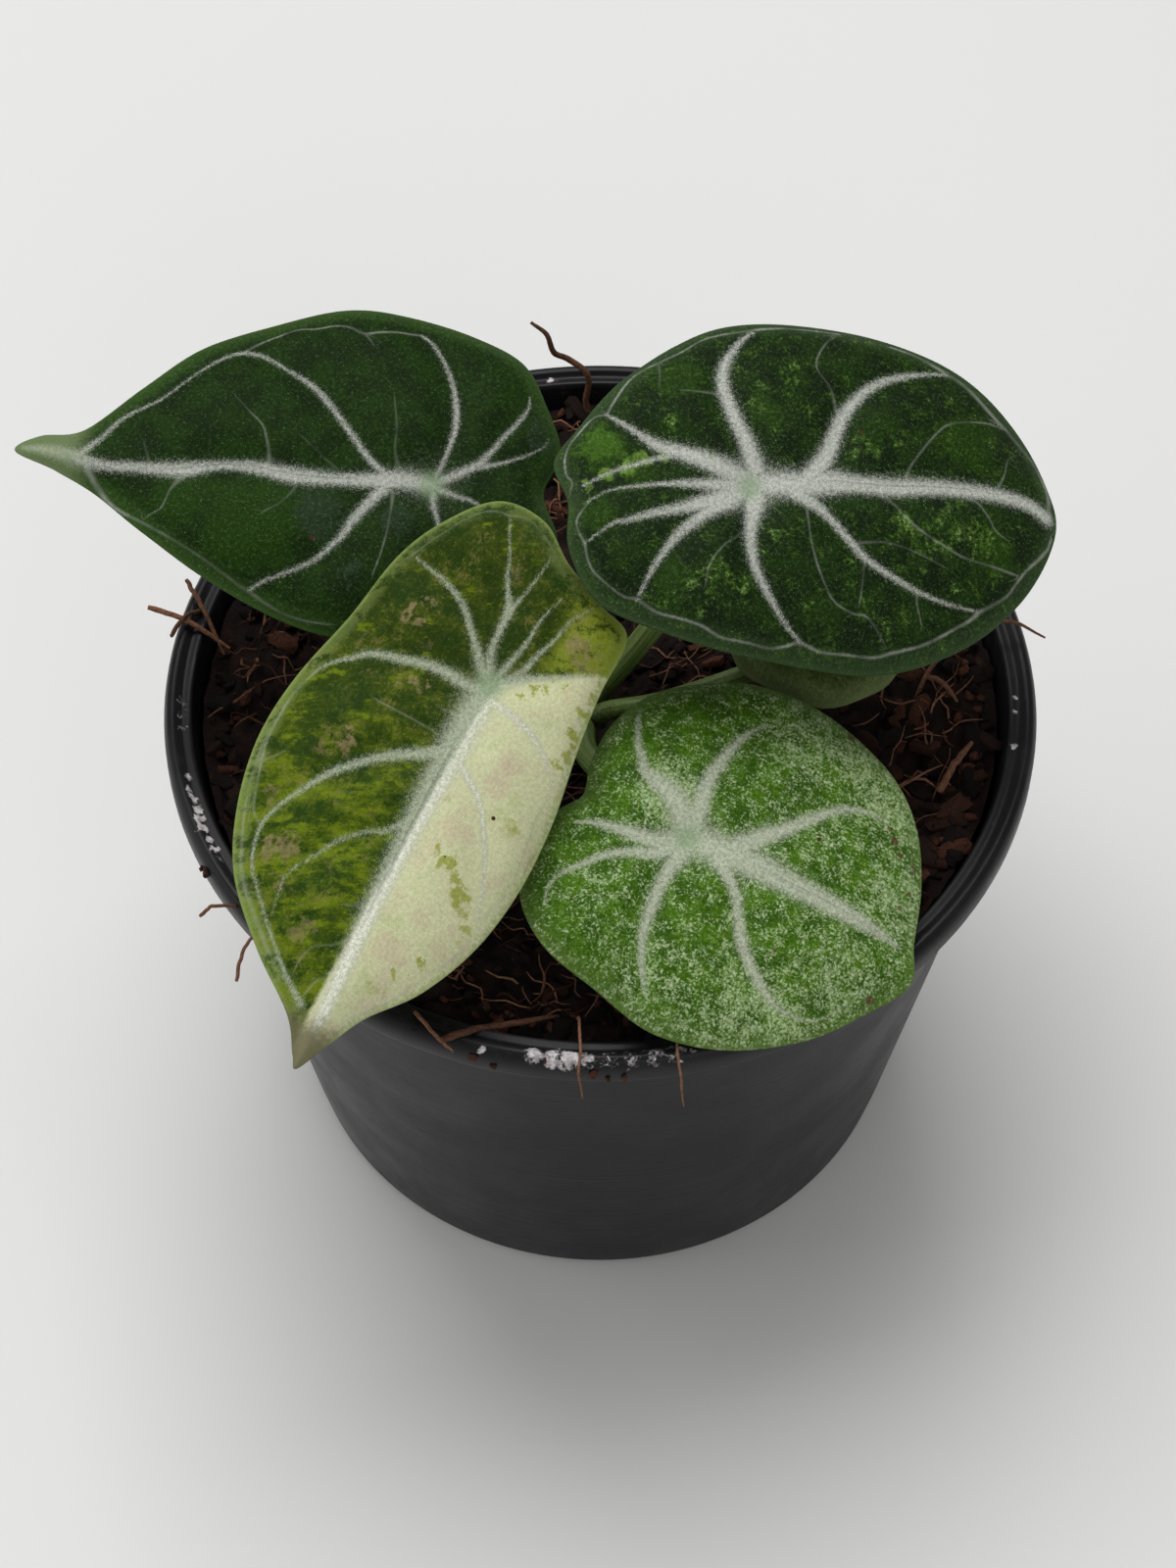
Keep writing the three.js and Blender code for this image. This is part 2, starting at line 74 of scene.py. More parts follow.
# %% [markdown]
# ## Floor and light
#
# A plant with dark, velvety leaves wants large soft lights. One broad panel hangs
# above and a little behind, so the blades get a gentle sheen and the folds between
# their veins show. Two weaker ones, in front and to the left, fill the shadows.

# %% Floor and light
def add_panel(name, place, aim, size, power):
    """A square light panel at a place, turned to face the point it is aimed at."""
    bpy.ops.object.light_add(type="AREA", location=place)
    panel = bpy.context.object
    panel.name = name
    panel.data.size = size
    panel.data.energy = power
    panel.rotation_euler = (Vector(aim) - Vector(place)).to_track_quat("-Z", "Y").to_euler()


bpy.ops.object.select_all(action="DESELECT")
bpy.ops.mesh.primitive_plane_add(size=6)
floor = bpy.context.object
floor.name = "floor"

paper = bpy.data.materials.new("pale_floor")
paper.use_nodes = True
paper.node_tree.nodes["Principled BSDF"].inputs["Base Color"].default_value = (0.72, 0.72, 0.71, 1)
paper.node_tree.nodes["Principled BSDF"].inputs["Roughness"].default_value = 0.6
floor.data.materials.append(paper)

PLANT_MIDDLE = (0, 0, 80 * MM)
add_panel("overhead_panel", (-0.12, 0.30, 0.95), PLANT_MIDDLE, 0.70, 7.5)
add_panel("front_panel", (0.35, -0.90, 0.55), PLANT_MIDDLE, 0.80, 2.5)
add_panel("side_panel", (-0.85, 0.05, 0.40), PLANT_MIDDLE, 0.60, 1.6)

sky = bpy.data.worlds.new("studio")
sky.use_nodes = True
sky.node_tree.nodes["Background"].inputs["Color"].default_value = (1, 1, 1, 1)
sky.node_tree.nodes["Background"].inputs["Strength"].default_value = 0.32
bpy.context.scene.world = sky
bpy.context.scene.view_settings.view_transform = "Standard"
bpy.context.scene.view_settings.look = "None"

# %% [markdown]
# ## Writing a finish
#
# A material is a small network of nodes. These helpers keep each recipe readable: a
# `Pattern` is what one node puts out, and it can be added or multiplied like a
# number. A pattern comes from a noise, is cut to a clear edge by a smooth step, and
# then mixes one colour over another, like a coat of paint through a stencil.

# %% Helpers for finishes
class Pattern:
    """What a node puts out. A sum or a product of patterns is a node as well."""

    def __init__(self, tree, socket):
        self.tree = tree
        self.socket = socket

    def __add__(self, other):
        return maths("ADD", self, other)

    def __sub__(self, other):
        return maths("SUBTRACT", self, other)

    def __mul__(self, other):
        return maths("MULTIPLY", self, other)

    def __truediv__(self, other):
        return maths("DIVIDE", self, other)

    def __abs__(self):
        return maths("ABSOLUTE", self)

    def into(self, socket):
        """Links what the node puts out to an input."""
        self.tree.links.new(self.socket, socket)


def add_node(tree, kind, inputs, **settings):
    """Adds a node and gives back its patterns. An input is a number, a colour or a pattern."""
    node = tree.nodes.new(kind)
    for name, value in settings.items():
        setattr(node, name, value)
    for socket, value in inputs.items():
        if isinstance(value, Pattern):
            value.into(node.inputs[socket])
        else:
            node.inputs[socket].default_value = value
    return {socket.identifier: Pattern(tree, socket) for socket in node.outputs}


def maths(operation, first, second=0.0):
    """Two patterns, or a pattern and a number, put together by one operation."""
    return add_node(first.tree, "ShaderNodeMath", {0: first, 1: second}, operation=operation)["Value"]


def vector_maths(operation, *inputs):
    """The same on vectors. The result is a vector or a number, so both are given back."""
    outputs = add_node(inputs[0].tree, "ShaderNodeVectorMath", dict(enumerate(inputs)),
                       operation=operation)
    return outputs["Vector"], outputs["Value"]


def parts(vector):
    """The x, y and z of a vector."""
    return list(add_node(vector.tree, "ShaderNodeSeparateXYZ", {0: vector}).values())


def value_of(tree, name):
    """A number that the mesh carries at each of its points."""
    return add_node(tree, "ShaderNodeAttribute", {}, attribute_name=name)["Fac"]


def vector_of(tree, name):
    return add_node(tree, "ShaderNodeAttribute", {}, attribute_name=name)["Vector"]


def object_place(tree):
    """The place on the piece, in millimetres."""
    where = add_node(tree, "ShaderNodeTexCoord", {})["Object"]
    return add_node(tree, "ShaderNodeMapping", {"Vector": where, "Scale": (1 / MM,) * 3},
                    vector_type="POINT")["Vector"]


def drawn_out(where, lengths, turn=0.0):
    """Turns a pattern round z and draws its lumps out to these lengths along x, y and z."""
    return add_node(where.tree, "ShaderNodeMapping",
                    {"Vector": where, "Scale": lengths, "Rotation": (0, 0, turn)},
                    vector_type="TEXTURE")["Vector"]


def cloud(where, scale, detail=3.0, roughness=0.5, distortion=0.0, output="Fac"):
    """Soft noise from 0 to 1, with about `scale` lumps to the millimetre."""
    return add_node(where.tree, "ShaderNodeTexNoise", {
        "Vector": where, "Scale": scale, "Detail": detail, "Roughness": roughness,
        "Distortion": distortion})[output]


def step(value, low, high, start=0.0, end=1.0):
    """Turns value smoothly from start to end as it passes from low to high."""
    return add_node(value.tree, "ShaderNodeMapRange", {
        0: value, 1: low, 2: high, 3: start, 4: end}, interpolation_type="SMOOTHSTEP")["Result"]


def patches(where, spots, bend):
    """1 in the middle of every spot, 0 outside. A spot is its place, its reach and its strength.
    Bend pushes the borders about by noise, by up to so many millimetres."""
    push = cloud(where, 0.55, 4, 0.65, output="Color")
    pushed = vector_maths("MULTIPLY_ADD", push, (4 * bend,) * 3, where)[0]
    where = vector_maths("SUBTRACT", pushed, (2 * bend,) * 3)[0]
    mask = 0.0
    for *centre, reach, strength in spots:
        away = vector_maths("DISTANCE", where, (*centre, 0)[:3])[1]
        mask = maths("MAXIMUM", step(away, 0.3 * reach, 1.2 * reach, strength, 0), mask)
    return mask


def over(amount, under, coat):
    """Lays a coat over the colour below it, by an amount from 0 to 1."""
    under, coat = [colour if isinstance(colour, Pattern) else (*colour, 1) for colour in (under, coat)]
    return add_node(amount.tree, "ShaderNodeMix", {0: amount, 6: under, 7: coat},
                    data_type="RGBA")["Result_Color"]


def shade(colour, amount):
    """Makes a colour darker or lighter by a factor that varies over the piece."""
    return add_node(amount.tree, "ShaderNodeVectorMath", {0: colour, "Scale": amount},
                    operation="SCALE")["Vector"]


def start_finish(name):
    """An empty material, its network and the inputs of its shader."""
    material = bpy.data.materials.new(name)
    material.use_nodes = True
    return material, material.node_tree, material.node_tree.nodes["Principled BSDF"].inputs


def feed(sockets, colour, roughness, specular, height, depth_mm):
    """Feeds the shader. The height catches the light without moving the faces."""
    colour.into(sockets["Base Color"])
    roughness.into(sockets["Roughness"])
    sockets["Specular IOR Level"].default_value = specular
    bump = add_node(height.tree, "ShaderNodeBump", {"Height": height, "Distance": depth_mm * MM})
    bump["Normal"].into(sockets["Normal"])


print("helpers for finishes are ready")

# %% [markdown]
# ## Laying a grid along a form
#
# Leaves, stalks, roots and the bed of soil have no straight edge to extrude from.
# Each starts as a flat grid that is rolled up or stretched over its form, the way
# a sheet of wax is laid in a mould. Where the sheet's borders meet, its doubled
# points are merged, so the piece ends up closed. The grid's own UV map stays on it
# and tells how far along and how far round each point lies.

# %% Helpers for forms
def alone(piece):
    """Selects one piece and nothing else."""
    bpy.ops.object.select_all(action="DESELECT")
    piece.select_set(True)
    bpy.context.view_layer.objects.active = piece


def edit_points():
    """Goes into edit mode with all points of the active piece selected."""
    bpy.ops.object.mode_set(mode="EDIT")
    bpy.ops.mesh.select_all(action="SELECT")


def keep_values(piece, name, field):
    """Keeps a number or a vector at each point of a piece, for its finish to read."""
    kind, entry = ("FLOAT_VECTOR", "vector") if field.ndim == 3 else ("FLOAT", "value")
    kept = piece.data.attributes.new(name, kind, "POINT")
    kept.data.foreach_set(entry, field.astype(np.float32).ravel())


def lay_grid(name, places, values=None):
    """Lays a closed piece on places, an array of rows, columns and x, y, z in millimetres.
    values are numbers or vectors to keep at the points, by name."""
    rows, columns = places.shape[:2]
    bpy.ops.object.select_all(action="DESELECT")
    bpy.ops.mesh.primitive_grid_add(x_subdivisions=columns - 1, y_subdivisions=rows - 1, size=1)
    piece = bpy.context.object
    piece.name = name
    piece.data.name = name
    piece.data.vertices.foreach_set("co", (places * MM).astype(np.float32).ravel())
    for key, field in (values or {}).items():
        keep_values(piece, key, field)
    edit_points()
    bpy.ops.mesh.remove_doubles(threshold=2e-7)
    bpy.ops.mesh.normals_make_consistent(inside=False)
    bpy.ops.object.mode_set(mode="OBJECT")
    bpy.ops.object.shade_smooth()
    return piece


def smooth_line(knots, count, closed=False):
    """A smooth line through the knots, sampled at even steps from knot to knot."""
    knots = np.array(knots, float)
    if closed:
        guided = np.vstack([knots[-1:], knots, knots[:2]])
    else:
        guided = np.vstack([2 * knots[0] - knots[1], knots, 2 * knots[-1] - knots[-2]])
    spans = len(guided) - 3
    where = np.linspace(0, spans, count, endpoint=not closed)
    low = np.minimum(where.astype(int), spans - 1)
    t = (where - low)[:, None]
    before, start, end, after = guided[low], guided[low + 1], guided[low + 2], guided[low + 3]
    return 0.5 * (2 * start + (end - before) * t
                  + (2 * before - 5 * start + 4 * end - after) * t ** 2
                  + (3 * start - before - 3 * end + after) * t ** 3)


def ring(radius, height, columns, centre=(0, 0)):
    """A level ring of points round a centre. Its first point comes back as its last."""
    turn = np.linspace(0, 2 * math.pi, columns + 1)
    return np.stack([centre[0] + radius * np.cos(turn), centre[1] + radius * np.sin(turn),
                     0 * turn + height], axis=1)


def tube_places(path, radii, sides):
    """Rings of points round a path, closed at both ends. The ring turns with the path."""
    ahead = np.gradient(path, axis=0)
    ahead /= np.linalg.norm(ahead, axis=1)[:, None]
    side = np.cross(ahead[0], [0.31, 0.87, 0.39])
    turn = np.linspace(0, 2 * math.pi, sides + 1)[:, None]
    rings = []
    for point, way, radius in zip(path, ahead, radii):
        side = side - way * (side @ way)
        side /= np.linalg.norm(side)
        rings.append(point + radius * (np.cos(turn) * side + np.sin(turn) * np.cross(way, side)))
    first, last = [np.repeat(end, sides + 1, axis=0) for end in (path[:1], path[-1:])]
    return np.array([first] + rings + [last])


print("helpers for forms are ready")

# %% [markdown]
# ## Pot
#
# The pot is blown or injected from thin black plastic: a tapered wall, a rolled lip
# that stiffens it, and a raised channel with holes underneath, so that water drains
# while the pot stands flat. Such a round form is a profile turned about its axis.
# The profile is drawn from one point by extruding it step by step, and the Spin tool
# turns it. A bevel then rounds the moulded edges, and the holes are cut last.

# %% Pot: profile and spin
RIM_RADIUS = 50.0
POT_HEIGHT = 69.0
BASE_RADIUS = 37.3
WALL = 1.3
FLOOR_THICKNESS = 2.8
CHANNEL = 1.4                           # how far the underside is raised between its two feet
LIP_FOOT = 64.8                         # height of the underside of the lip
SPIN_STEPS = 160


def bore(height):
    """Inner radius of the pot at a height."""
    return 36.0 + 10.7 / POT_HEIGHT * height


POT_PROFILE = [
    (0, 0), (13, 0), (14, CHANNEL), (28, CHANNEL), (29, 0), (36.5, 0), (BASE_RADIUS, 0.8),
    (bore(5) + WALL, 5), (bore(30) + WALL, 30), (bore(60) + WALL, 60), (bore(64.2) + WALL, 64.2),
    (bore(LIP_FOOT) + WALL + 0.5, LIP_FOOT), (49.3, LIP_FOOT), (49.75, 65.1), (RIM_RADIUS, 65.8),
    (RIM_RADIUS, 67.4), (49.85, 68.2), (49.5, 68.75), (49.0, POT_HEIGHT), (48.5, 68.9), (48.15, 68.55),
    (47.9, 68.4), (47.5, 68.45), (47.1, 68.55), (46.8, 68.45), (bore(67.8), 67.8),
    (bore(60), 60), (bore(30), 30), (bore(4.4), 4.4), (bore(FLOOR_THICKNESS) - 1.2, FLOOR_THICKNESS),
    (0, FLOOR_THICKNESS)]

bpy.ops.object.select_all(action="DESELECT")
bpy.ops.mesh.primitive_plane_add(size=2 * MM)
pot = bpy.context.object
pot.name = "nursery_pot"
edit_points()
bpy.ops.mesh.merge(type="CENTER")
bpy.ops.mesh.select_all(action="SELECT")
bpy.ops.mesh.select_mode(type="VERT")
for (r0, z0), (r1, z1) in zip(POT_PROFILE, POT_PROFILE[1:]):
    bpy.ops.mesh.extrude_region_move(
        TRANSFORM_OT_translate={"value": ((r1 - r0) * MM, 0, (z1 - z0) * MM)})
bpy.ops.mesh.select_all(action="SELECT")
bpy.ops.mesh.spin(steps=SPIN_STEPS, angle=2 * math.pi, center=(0, 0, 0), axis=(0, 0, 1))
bpy.ops.mesh.select_all(action="SELECT")
bpy.ops.mesh.remove_doubles(threshold=1e-6)
bpy.ops.mesh.normals_make_consistent(inside=False)
bpy.ops.object.mode_set(mode="OBJECT")
print("pot turned:", len(pot.data.polygons), "faces")

# %% Pot: round the moulded edges and drill the drainage holes
rounding = pot.modifiers.new("moulded_edges", "BEVEL")
rounding.width = 0.3 * MM
rounding.segments = 3
rounding.limit_method = "ANGLE"
rounding.angle_limit = math.radians(28)
alone(pot)
bpy.ops.object.modifier_apply(modifier=rounding.name)

DRAIN_HOLES = 6
DRAIN_RADIUS = 3.5
DRAIN_CIRCLE = 21.0
for hole in range(DRAIN_HOLES):
    turn = hole / DRAIN_HOLES * 2 * math.pi
    bpy.ops.object.select_all(action="DESELECT")
    bpy.ops.mesh.primitive_cylinder_add(
        vertices=40, radius=DRAIN_RADIUS * MM, depth=8 * MM,
        location=(DRAIN_CIRCLE * math.cos(turn) * MM, DRAIN_CIRCLE * math.sin(turn) * MM, CHANNEL * MM))
    drill = bpy.context.object
    cut = pot.modifiers.new("drain_hole", "BOOLEAN")
    cut.operation = "DIFFERENCE"
    cut.solver = "EXACT"
    cut.object = drill
    alone(pot)
    bpy.ops.object.modifier_apply(modifier=cut.name)
    bpy.data.objects.remove(drill)
alone(pot)
bpy.ops.object.shade_smooth_by_angle(angle=math.radians(32))
print("pot with holes:", len(pot.data.polygons), "faces")

# %% [markdown]
# The plastic is satin black, not quite even: moulding leaves faint rings round the
# wall, handling leaves dull scuffs, and dust settles on it. On the lip the water
# has left crusts of pale lime. Each crust is a patch round a place on the lip, and
# noise eats into its border, so that it reads as something that dried there.

# %% Pot: satin black plastic with lime on the lip
LIME_CRUSTS = [                         # x, y and z on the lip, reach, and how pale it is
    (-7.0, -48.6, 68.7, 1.4, 1.0), (-5.2, -48.9, 68.6, 1.7, 1.0), (-3.4, -49.1, 68.6, 1.7, 1.0),
    (-1.6, -49.2, 68.5, 1.4, 0.9), (0.8, -49.0, 68.6, 1.6, 0.6), (3.2, -48.9, 68.6, 1.8, 0.55),
    (5.6, -48.6, 68.6, 1.8, 0.6), (8.0, -48.2, 68.6, 1.7, 0.62), (10.0, -47.8, 68.6, 1.3, 0.5),
    (-12.8, -48.0, 68.7, 0.75, 1.0), (-48.0, -1.3, 68.5, 0.9, 0.62), (-47.8, -3.2, 68.5, 1.0, 0.55),
    (-47.6, -5.2, 68.5, 0.9, 0.6), (-46.6, -12.2, 68.6, 0.7, 0.8), (-46.2, -13.6, 68.6, 0.9, 0.9),
    (-45.8, -15.0, 68.6, 0.9, 0.9), (-45.3, -16.4, 68.6, 1.1, 1.0), (-44.8, -17.8, 68.6, 1.1, 1.0),
    (-44.2, -19.2, 68.6, 1.1, 1.0), (-43.6, -20.6, 68.6, 1.0, 1.0), (-42.9, -22.0, 68.6, 0.9, 0.95),
    (-42.2, -23.4, 68.6, 0.8, 0.85), (47.3, -0.9, 68.4, 0.6, 0.9), (47.2, -2.9, 68.4, 0.6, 0.9),
    (46.9, -7.5, 68.4, 0.6, 0.9), (-6.0, 47.2, 68.5, 0.9, 0.8)]


def black_plastic():
    material, tree, sockets = start_finish("satin_black_plastic")
    place = object_place(tree)
    smear = cloud(place, 0.09, 4, 0.6)
    grain = cloud(place, 3.5, 2)
    rings = cloud(drawn_out(place, (25, 25, 0.6)), 1, 2)
    black = over(step(smear, 0.4, 0.7), (0.0045, 0.0045, 0.0052), (0.010, 0.010, 0.0115))
    dust = step(cloud(place, 0.5, 5, 0.7), 0.52, 0.75, 0, 0.35) * step(grain, 0.45, 0.62)
    black = over(dust, black, (0.075, 0.055, 0.045))
    eaten = cloud(place, 1.3, 8, 0.72, 0.3)
    lime = step(patches(place, LIME_CRUSTS, 0.5) + eaten * 3.0, 2.02, 2.42)
    lime_tone = over(step(cloud(place, 1.4, 4), 0.38, 0.62), (0.36, 0.33, 0.34), (0.66, 0.62, 0.62))
    rough = step(smear, 0.3, 0.75, 0.33, 0.47) + lime * 0.4 + dust * 0.5
    height = rings * 0.25 + grain * 0.06 + lime * eaten * 0.7
    feed(sockets, over(lime, black, lime_tone), rough, 0.19, height, 0.16)
    return material


pot.data.materials.append(black_plastic())
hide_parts("pot")
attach(pot, "root")
print("lime crusts on the lip:", len(LIME_CRUSTS))

# %% [markdown]
# ## Soil
#
# The pot is filled with coir: short brown fibres, chips of husk and dark crumbs,
# pressed down to just under the lip. The bed is one closed grid with a rough top,
# a wall and a bottom. Three Displace modifiers with procedural clouds raise the crumb
# on it, because their lumps differ everywhere, which copied lumps wouldn't.

# %% Soil: bed
SOIL_TOP = 65.6
SOIL_RELIEF = 0.9
SOIL_BOTTOM = 3.1
SOIL_GAP = 0.5                          # between the soil and the wall of the pot
CROWN_PLACE = (-3.5, -2.5)
BED_COLUMNS = 260
BED_RINGS = 84


def soil_height(x, y):
    """The coarse lie of the soil, as in the solid model."""
    coarse = np.sin(0.33 * x + 1.2) * np.cos(0.29 * y - 0.6)
    middle = np.sin(0.71 * x - 0.4 * y) * np.cos(0.63 * y + 0.5 * x + 1)
    fine = np.sin(1.5 * x + 0.8 * y) * np.sin(1.3 * y - 1.1 * x + 0.7)
    return SOIL_TOP + SOIL_RELIEF * (0.5 * coarse + 0.45 * middle + 0.35 * fine)


def bed_places():
    rings = []
    for number in range(BED_RINGS + 1):
        level = ring((bore(SOIL_TOP) - SOIL_GAP) * (number / BED_RINGS) ** 0.8, 0, BED_COLUMNS)
        level[:, 2] = soil_height(level[:, 0], level[:, 1])
        rings.append(level)
    for height in (60, 45, 30, 15, SOIL_BOTTOM):
        rings.append(ring(bore(height) - SOIL_GAP, height, BED_COLUMNS))
    for radius in (24, 12, 0):
        rings.append(ring(radius, SOIL_BOTTOM, BED_COLUMNS))
    return np.array(rings)


soil = lay_grid("coir_soil", bed_places())
top_points = soil.vertex_groups.new(name="rough_top")
for point in soil.data.vertices:
    reach = math.hypot(point.co.x, point.co.y) / MM
    if point.co.z > 61 * MM:
        top_points.add([point.index], min(1, max(0.1, (bore(SOIL_TOP) - reach) / 1.5)), "REPLACE")
for size, height in ((1.9, 1.9), (0.7, 1.3), (0.3, 0.5)):
    crumb = bpy.data.textures.new("crumb", "CLOUDS")
    crumb.noise_scale = size * MM
    crumb.noise_depth = 3
    crumb.noise_basis = "ORIGINAL_PERLIN"
    push = soil.modifiers.new("crumb", "DISPLACE")
    push.texture = crumb
    push.texture_coords = "LOCAL"
    push.strength = height * MM
    push.mid_level = 0.55
    push.vertex_group = "rough_top"
    alone(soil)
    bpy.ops.object.modifier_apply(modifier=push.name)
print("bed of soil:", len(soil.data.polygons), "faces")

# %% [markdown]
# Husk chips and fibres lie on the bed and stick out of it. A few shapes of each are
# modelled once, a millimetre long and with only a few dozen faces. A seeded draw then
# sets copies of them, each turned, sized and sunk a little differently. A number on
# every copy sets its tone, from nearly black to straw.

# %% Soil: husk chips
CHIP_COUNT = 1350
CHIP_REACH = 44.6                       # from the pot's axis
CROWN_CLEARANCE = 6.4                   # from the middle of the crown
draw = random.Random(41)
litter = []


def from_crown(x, y):
    return math.hypot(x - CROWN_PLACE[0], y - CROWN_PLACE[1])


def chip_shape(number):
    """A splinter of husk: a cube cut up once, with its points pushed about."""
    bpy.ops.object.select_all(action="DESELECT")
    bpy.ops.mesh.primitive_cube_add(size=MM)
    chip = bpy.context.object
    chip.name = "husk_chip"
    edit_points()
    bpy.ops.mesh.subdivide(number_cuts=1, smoothness=0.6)
    bpy.ops.object.mode_set(mode="OBJECT")
    push = random.Random(number)
    for point in chip.data.vertices:
        point.co *= 0.8 + 0.45 * push.random()
    return chip


def scattered_place(reach):
    """A seeded place on the soil, clear of the crown. One in five is banked up by the wall."""
    while True:
        share = draw.random() if draw.random() < 0.78 else draw.uniform(0.88, 1)
        radius, turn = reach * math.sqrt(share), 2 * math.pi * draw.random()
        x, y = radius * math.cos(turn), radius * math.sin(turn)
        if from_crown(x, y) > CROWN_CLEARANCE:
            return x, y, float(soil_height(x, y))


def set_tone(piece, tone):
    """One number for the whole piece, for its finish to read."""
    keep_values(piece, "tone", np.full(len(piece.data.vertices), tone))


def set_copy(shape, sizes, turns, place, tone):
    """A copy of a shape with a mesh of its own: sized, turned about its axes, and put in place."""
    turn = Matrix.Identity(4)
    for angle, axis in turns:
        turn = turn @ Matrix.Rotation(angle, 4, axis)
    piece = shape.copy()
    piece.data = shape.data.copy()
    piece.data.transform(Matrix.Translation(Vector(place) * MM) @ turn @ Matrix.Diagonal((*sizes, 1)))
    set_tone(piece, tone)
    bpy.context.collection.objects.link(piece)
    litter.append(piece)


chip_shapes = [chip_shape(number) for number in range(5)]
for number in range(CHIP_COUNT):
    x, y, z = scattered_place(CHIP_REACH)
    size = draw.random() ** 2.4         # of the length, the width and the thickness
    set_copy(chip_shapes[number % 5], (2.8 * size + 0.7, 1.2 * size + 0.5, 0.8 * size + 0.35),
             [(draw.uniform(0, 6.3), "Z"), (draw.gauss(0, 0.5), "X"), (draw.gauss(0, 0.45), "Y")],
             (x, y, z + draw.uniform(-0.2, 0.5)), draw.random() ** 2)
for shape in chip_shapes:
    bpy.data.objects.remove(shape)
print("husk chips:", len(litter))

# %% Soil: loose fibres
FIBRE_COUNT = 900
FIBRE_REACH = 42.5                      # of the one end, from the pot's axis
FIBRE_END_REACH = 45                    # of the other end
FIBRE_END_CLEARANCE = 6


def fibre_shape(number):
    """A wiry fibre, curled by its own draw, with four sides."""
    push = random.Random(100 + number)
    knots = [(0, 0, 0)]
    for part in range(1, 5):
        knots.append((part / 4, push.uniform(-0.16, 0.16), push.uniform(-0.07, 0.07)))
    path = smooth_line(knots, 9)
    radii = np.interp(np.linspace(0, 1, 9), [0, 0.15, 0.7, 1], [0.5, 1, 0.9, 0.35])
    return lay_grid("coir_fibre", tube_places(path, 0.022 * radii, 4))


fibre_shapes = [fibre_shape(number) for number in range(6)]
for number in range(FIBRE_COUNT):
    x, y, z = scattered_place(FIBRE_REACH)
    length = draw.uniform(2.4, 8.5)
    heading = draw.uniform(0, 6.3)
    end = x + length * math.cos(heading), y + length * math.sin(heading)
    if math.hypot(*end) > FIBRE_END_REACH or from_crown(*end) < FIBRE_END_CLEARANCE:
        continue
    thick = draw.uniform(3.2, 8)
    set_copy(fibre_shapes[number % 6], (length, thick, thick),
             [(heading, "Z"), (draw.uniform(-0.32, 0.12), "Y"), (draw.uniform(0, 6.3), "X")],
             (x, y, z + draw.uniform(0.0, 0.7)), 2 + draw.random())
for shape in fibre_shapes:
    bpy.data.objects.remove(shape)
print("chips and fibres:", len(litter))

# %% [markdown]
# A few longer roots and straws rise from the soil and hang over the lip. These can
# be picked out one by one on the real plant, so each has a path of its own: a line
# of points, a radius in the middle and a tone.

# %% Soil: stray roots and straws
STRAY_ROOTS = [                         # path, radius and tone
    ([(-1, 43.4, 64), (-1.6, 44.4, 68), (-1.4, 44.8, 72), (-3.6, 45.6, 74.2),
      (-5.4, 45, 76), (-6.4, 45.2, 79.2), (-8.2, 45.6, 80.8)], 0.42, 2.45),
    ([(36, 1, 64.5), (38.6, 4.4, 68.2), (42.6, 7.4, 70.4), (47, 8, 71.4), (51.2, 6, 70.8)], 0.27, 2.5),
    ([(-35.6, 19.2, 64.5), (-38.6, 20.2, 68.6), (-42.6, 21.2, 70.8), (-47.4, 22.8, 71.2),
      (-50.8, 24.2, 70.6)], 0.3, 2.4),
    ([(-2.6, -41.6, 64.5), (-2.4, -44.4, 69.4), (-2.2, -48, 71), (-2.4, -51.2, 69.6),
      (-2, -52.4, 66)], 0.19, 2.75),
    ([(7.6, -41.8, 64.5), (7.7, -44.2, 68.2), (8, -47.2, 69.9), (8.3, -50.4, 69.7),
      (8.6, -51.7, 67), (8.9, -51.9, 63.6)], 0.17, 2.8),
    ([(-17, -47, 69.3), (-14.5, -46, 69.2), (-11.6, -44.6, 68), (-8.2, -43.6, 67.4),
      (-4.6, -42.2, 66.2)], 0.42, 2.35),
    ([(-20.4, -42, 67), (-19.4, -44.4, 69.6), (-17.6, -47, 69.9), (-15.8, -48.6, 69.4)], 0.26, 2.7),
    ([(-52.4, 10.9, 70.2), (-48, 9.4, 69.8), (-43, 7.4, 67)], 0.34, 2.8),
    ([(-48.2, 14.9, 70.2), (-46.2, 11.2, 69.9), (-43.6, 6.6, 66.8)], 0.3, 2.5),
    ([(-49.6, 7.2, 69.6), (-47.8, 9.8, 70.1), (-44.8, 13.4, 67.2)], 0.28, 2.4),
    ([(38.3, -12.8, 66.8), (40, -10, 68), (42.2, -7, 68.3)], 0.46, 2.6),
    ([(37.8, 3.4, 66.8), (39.4, 1.6, 68), (41, -0.6, 67.4)], 0.34, 2.5),
    ([(36.8, -29.2, 66.6), (38.6, -26.8, 68), (40.2, -24.4, 67.2)], 0.36, 2.7),
    ([(-44, -30.8, 68.6), (-42.4, -30.4, 70), (-38.6, -28.6, 66.8)], 0.22, 2.6),
    ([(-39.8, -37.8, 66.4), (-38.9, -35.6, 69.4), (-37.4, -31.4, 67)], 0.22, 2.7)]
ROOT_STEPS = 30

for number, (path, radius, tone) in enumerate(STRAY_ROOTS):
    line = smooth_line(path, ROOT_STEPS)
    for k in range(1, ROOT_STEPS - 1):
        line[k] += [0.14 * noise.noise((k * 0.31, number * 3.1, axis * 7.7)) for axis in range(3)]
    taper = np.interp(np.linspace(0, 1, ROOT_STEPS), [0, 0.1, 0.75, 1], [0.8, 1, 0.85, 0.45])
    root = lay_grid("stray_root", tube_places(line, radius * taper, 8))
    set_tone(root, tone)
    litter.append(root)
print("stray roots:", len(STRAY_ROOTS))

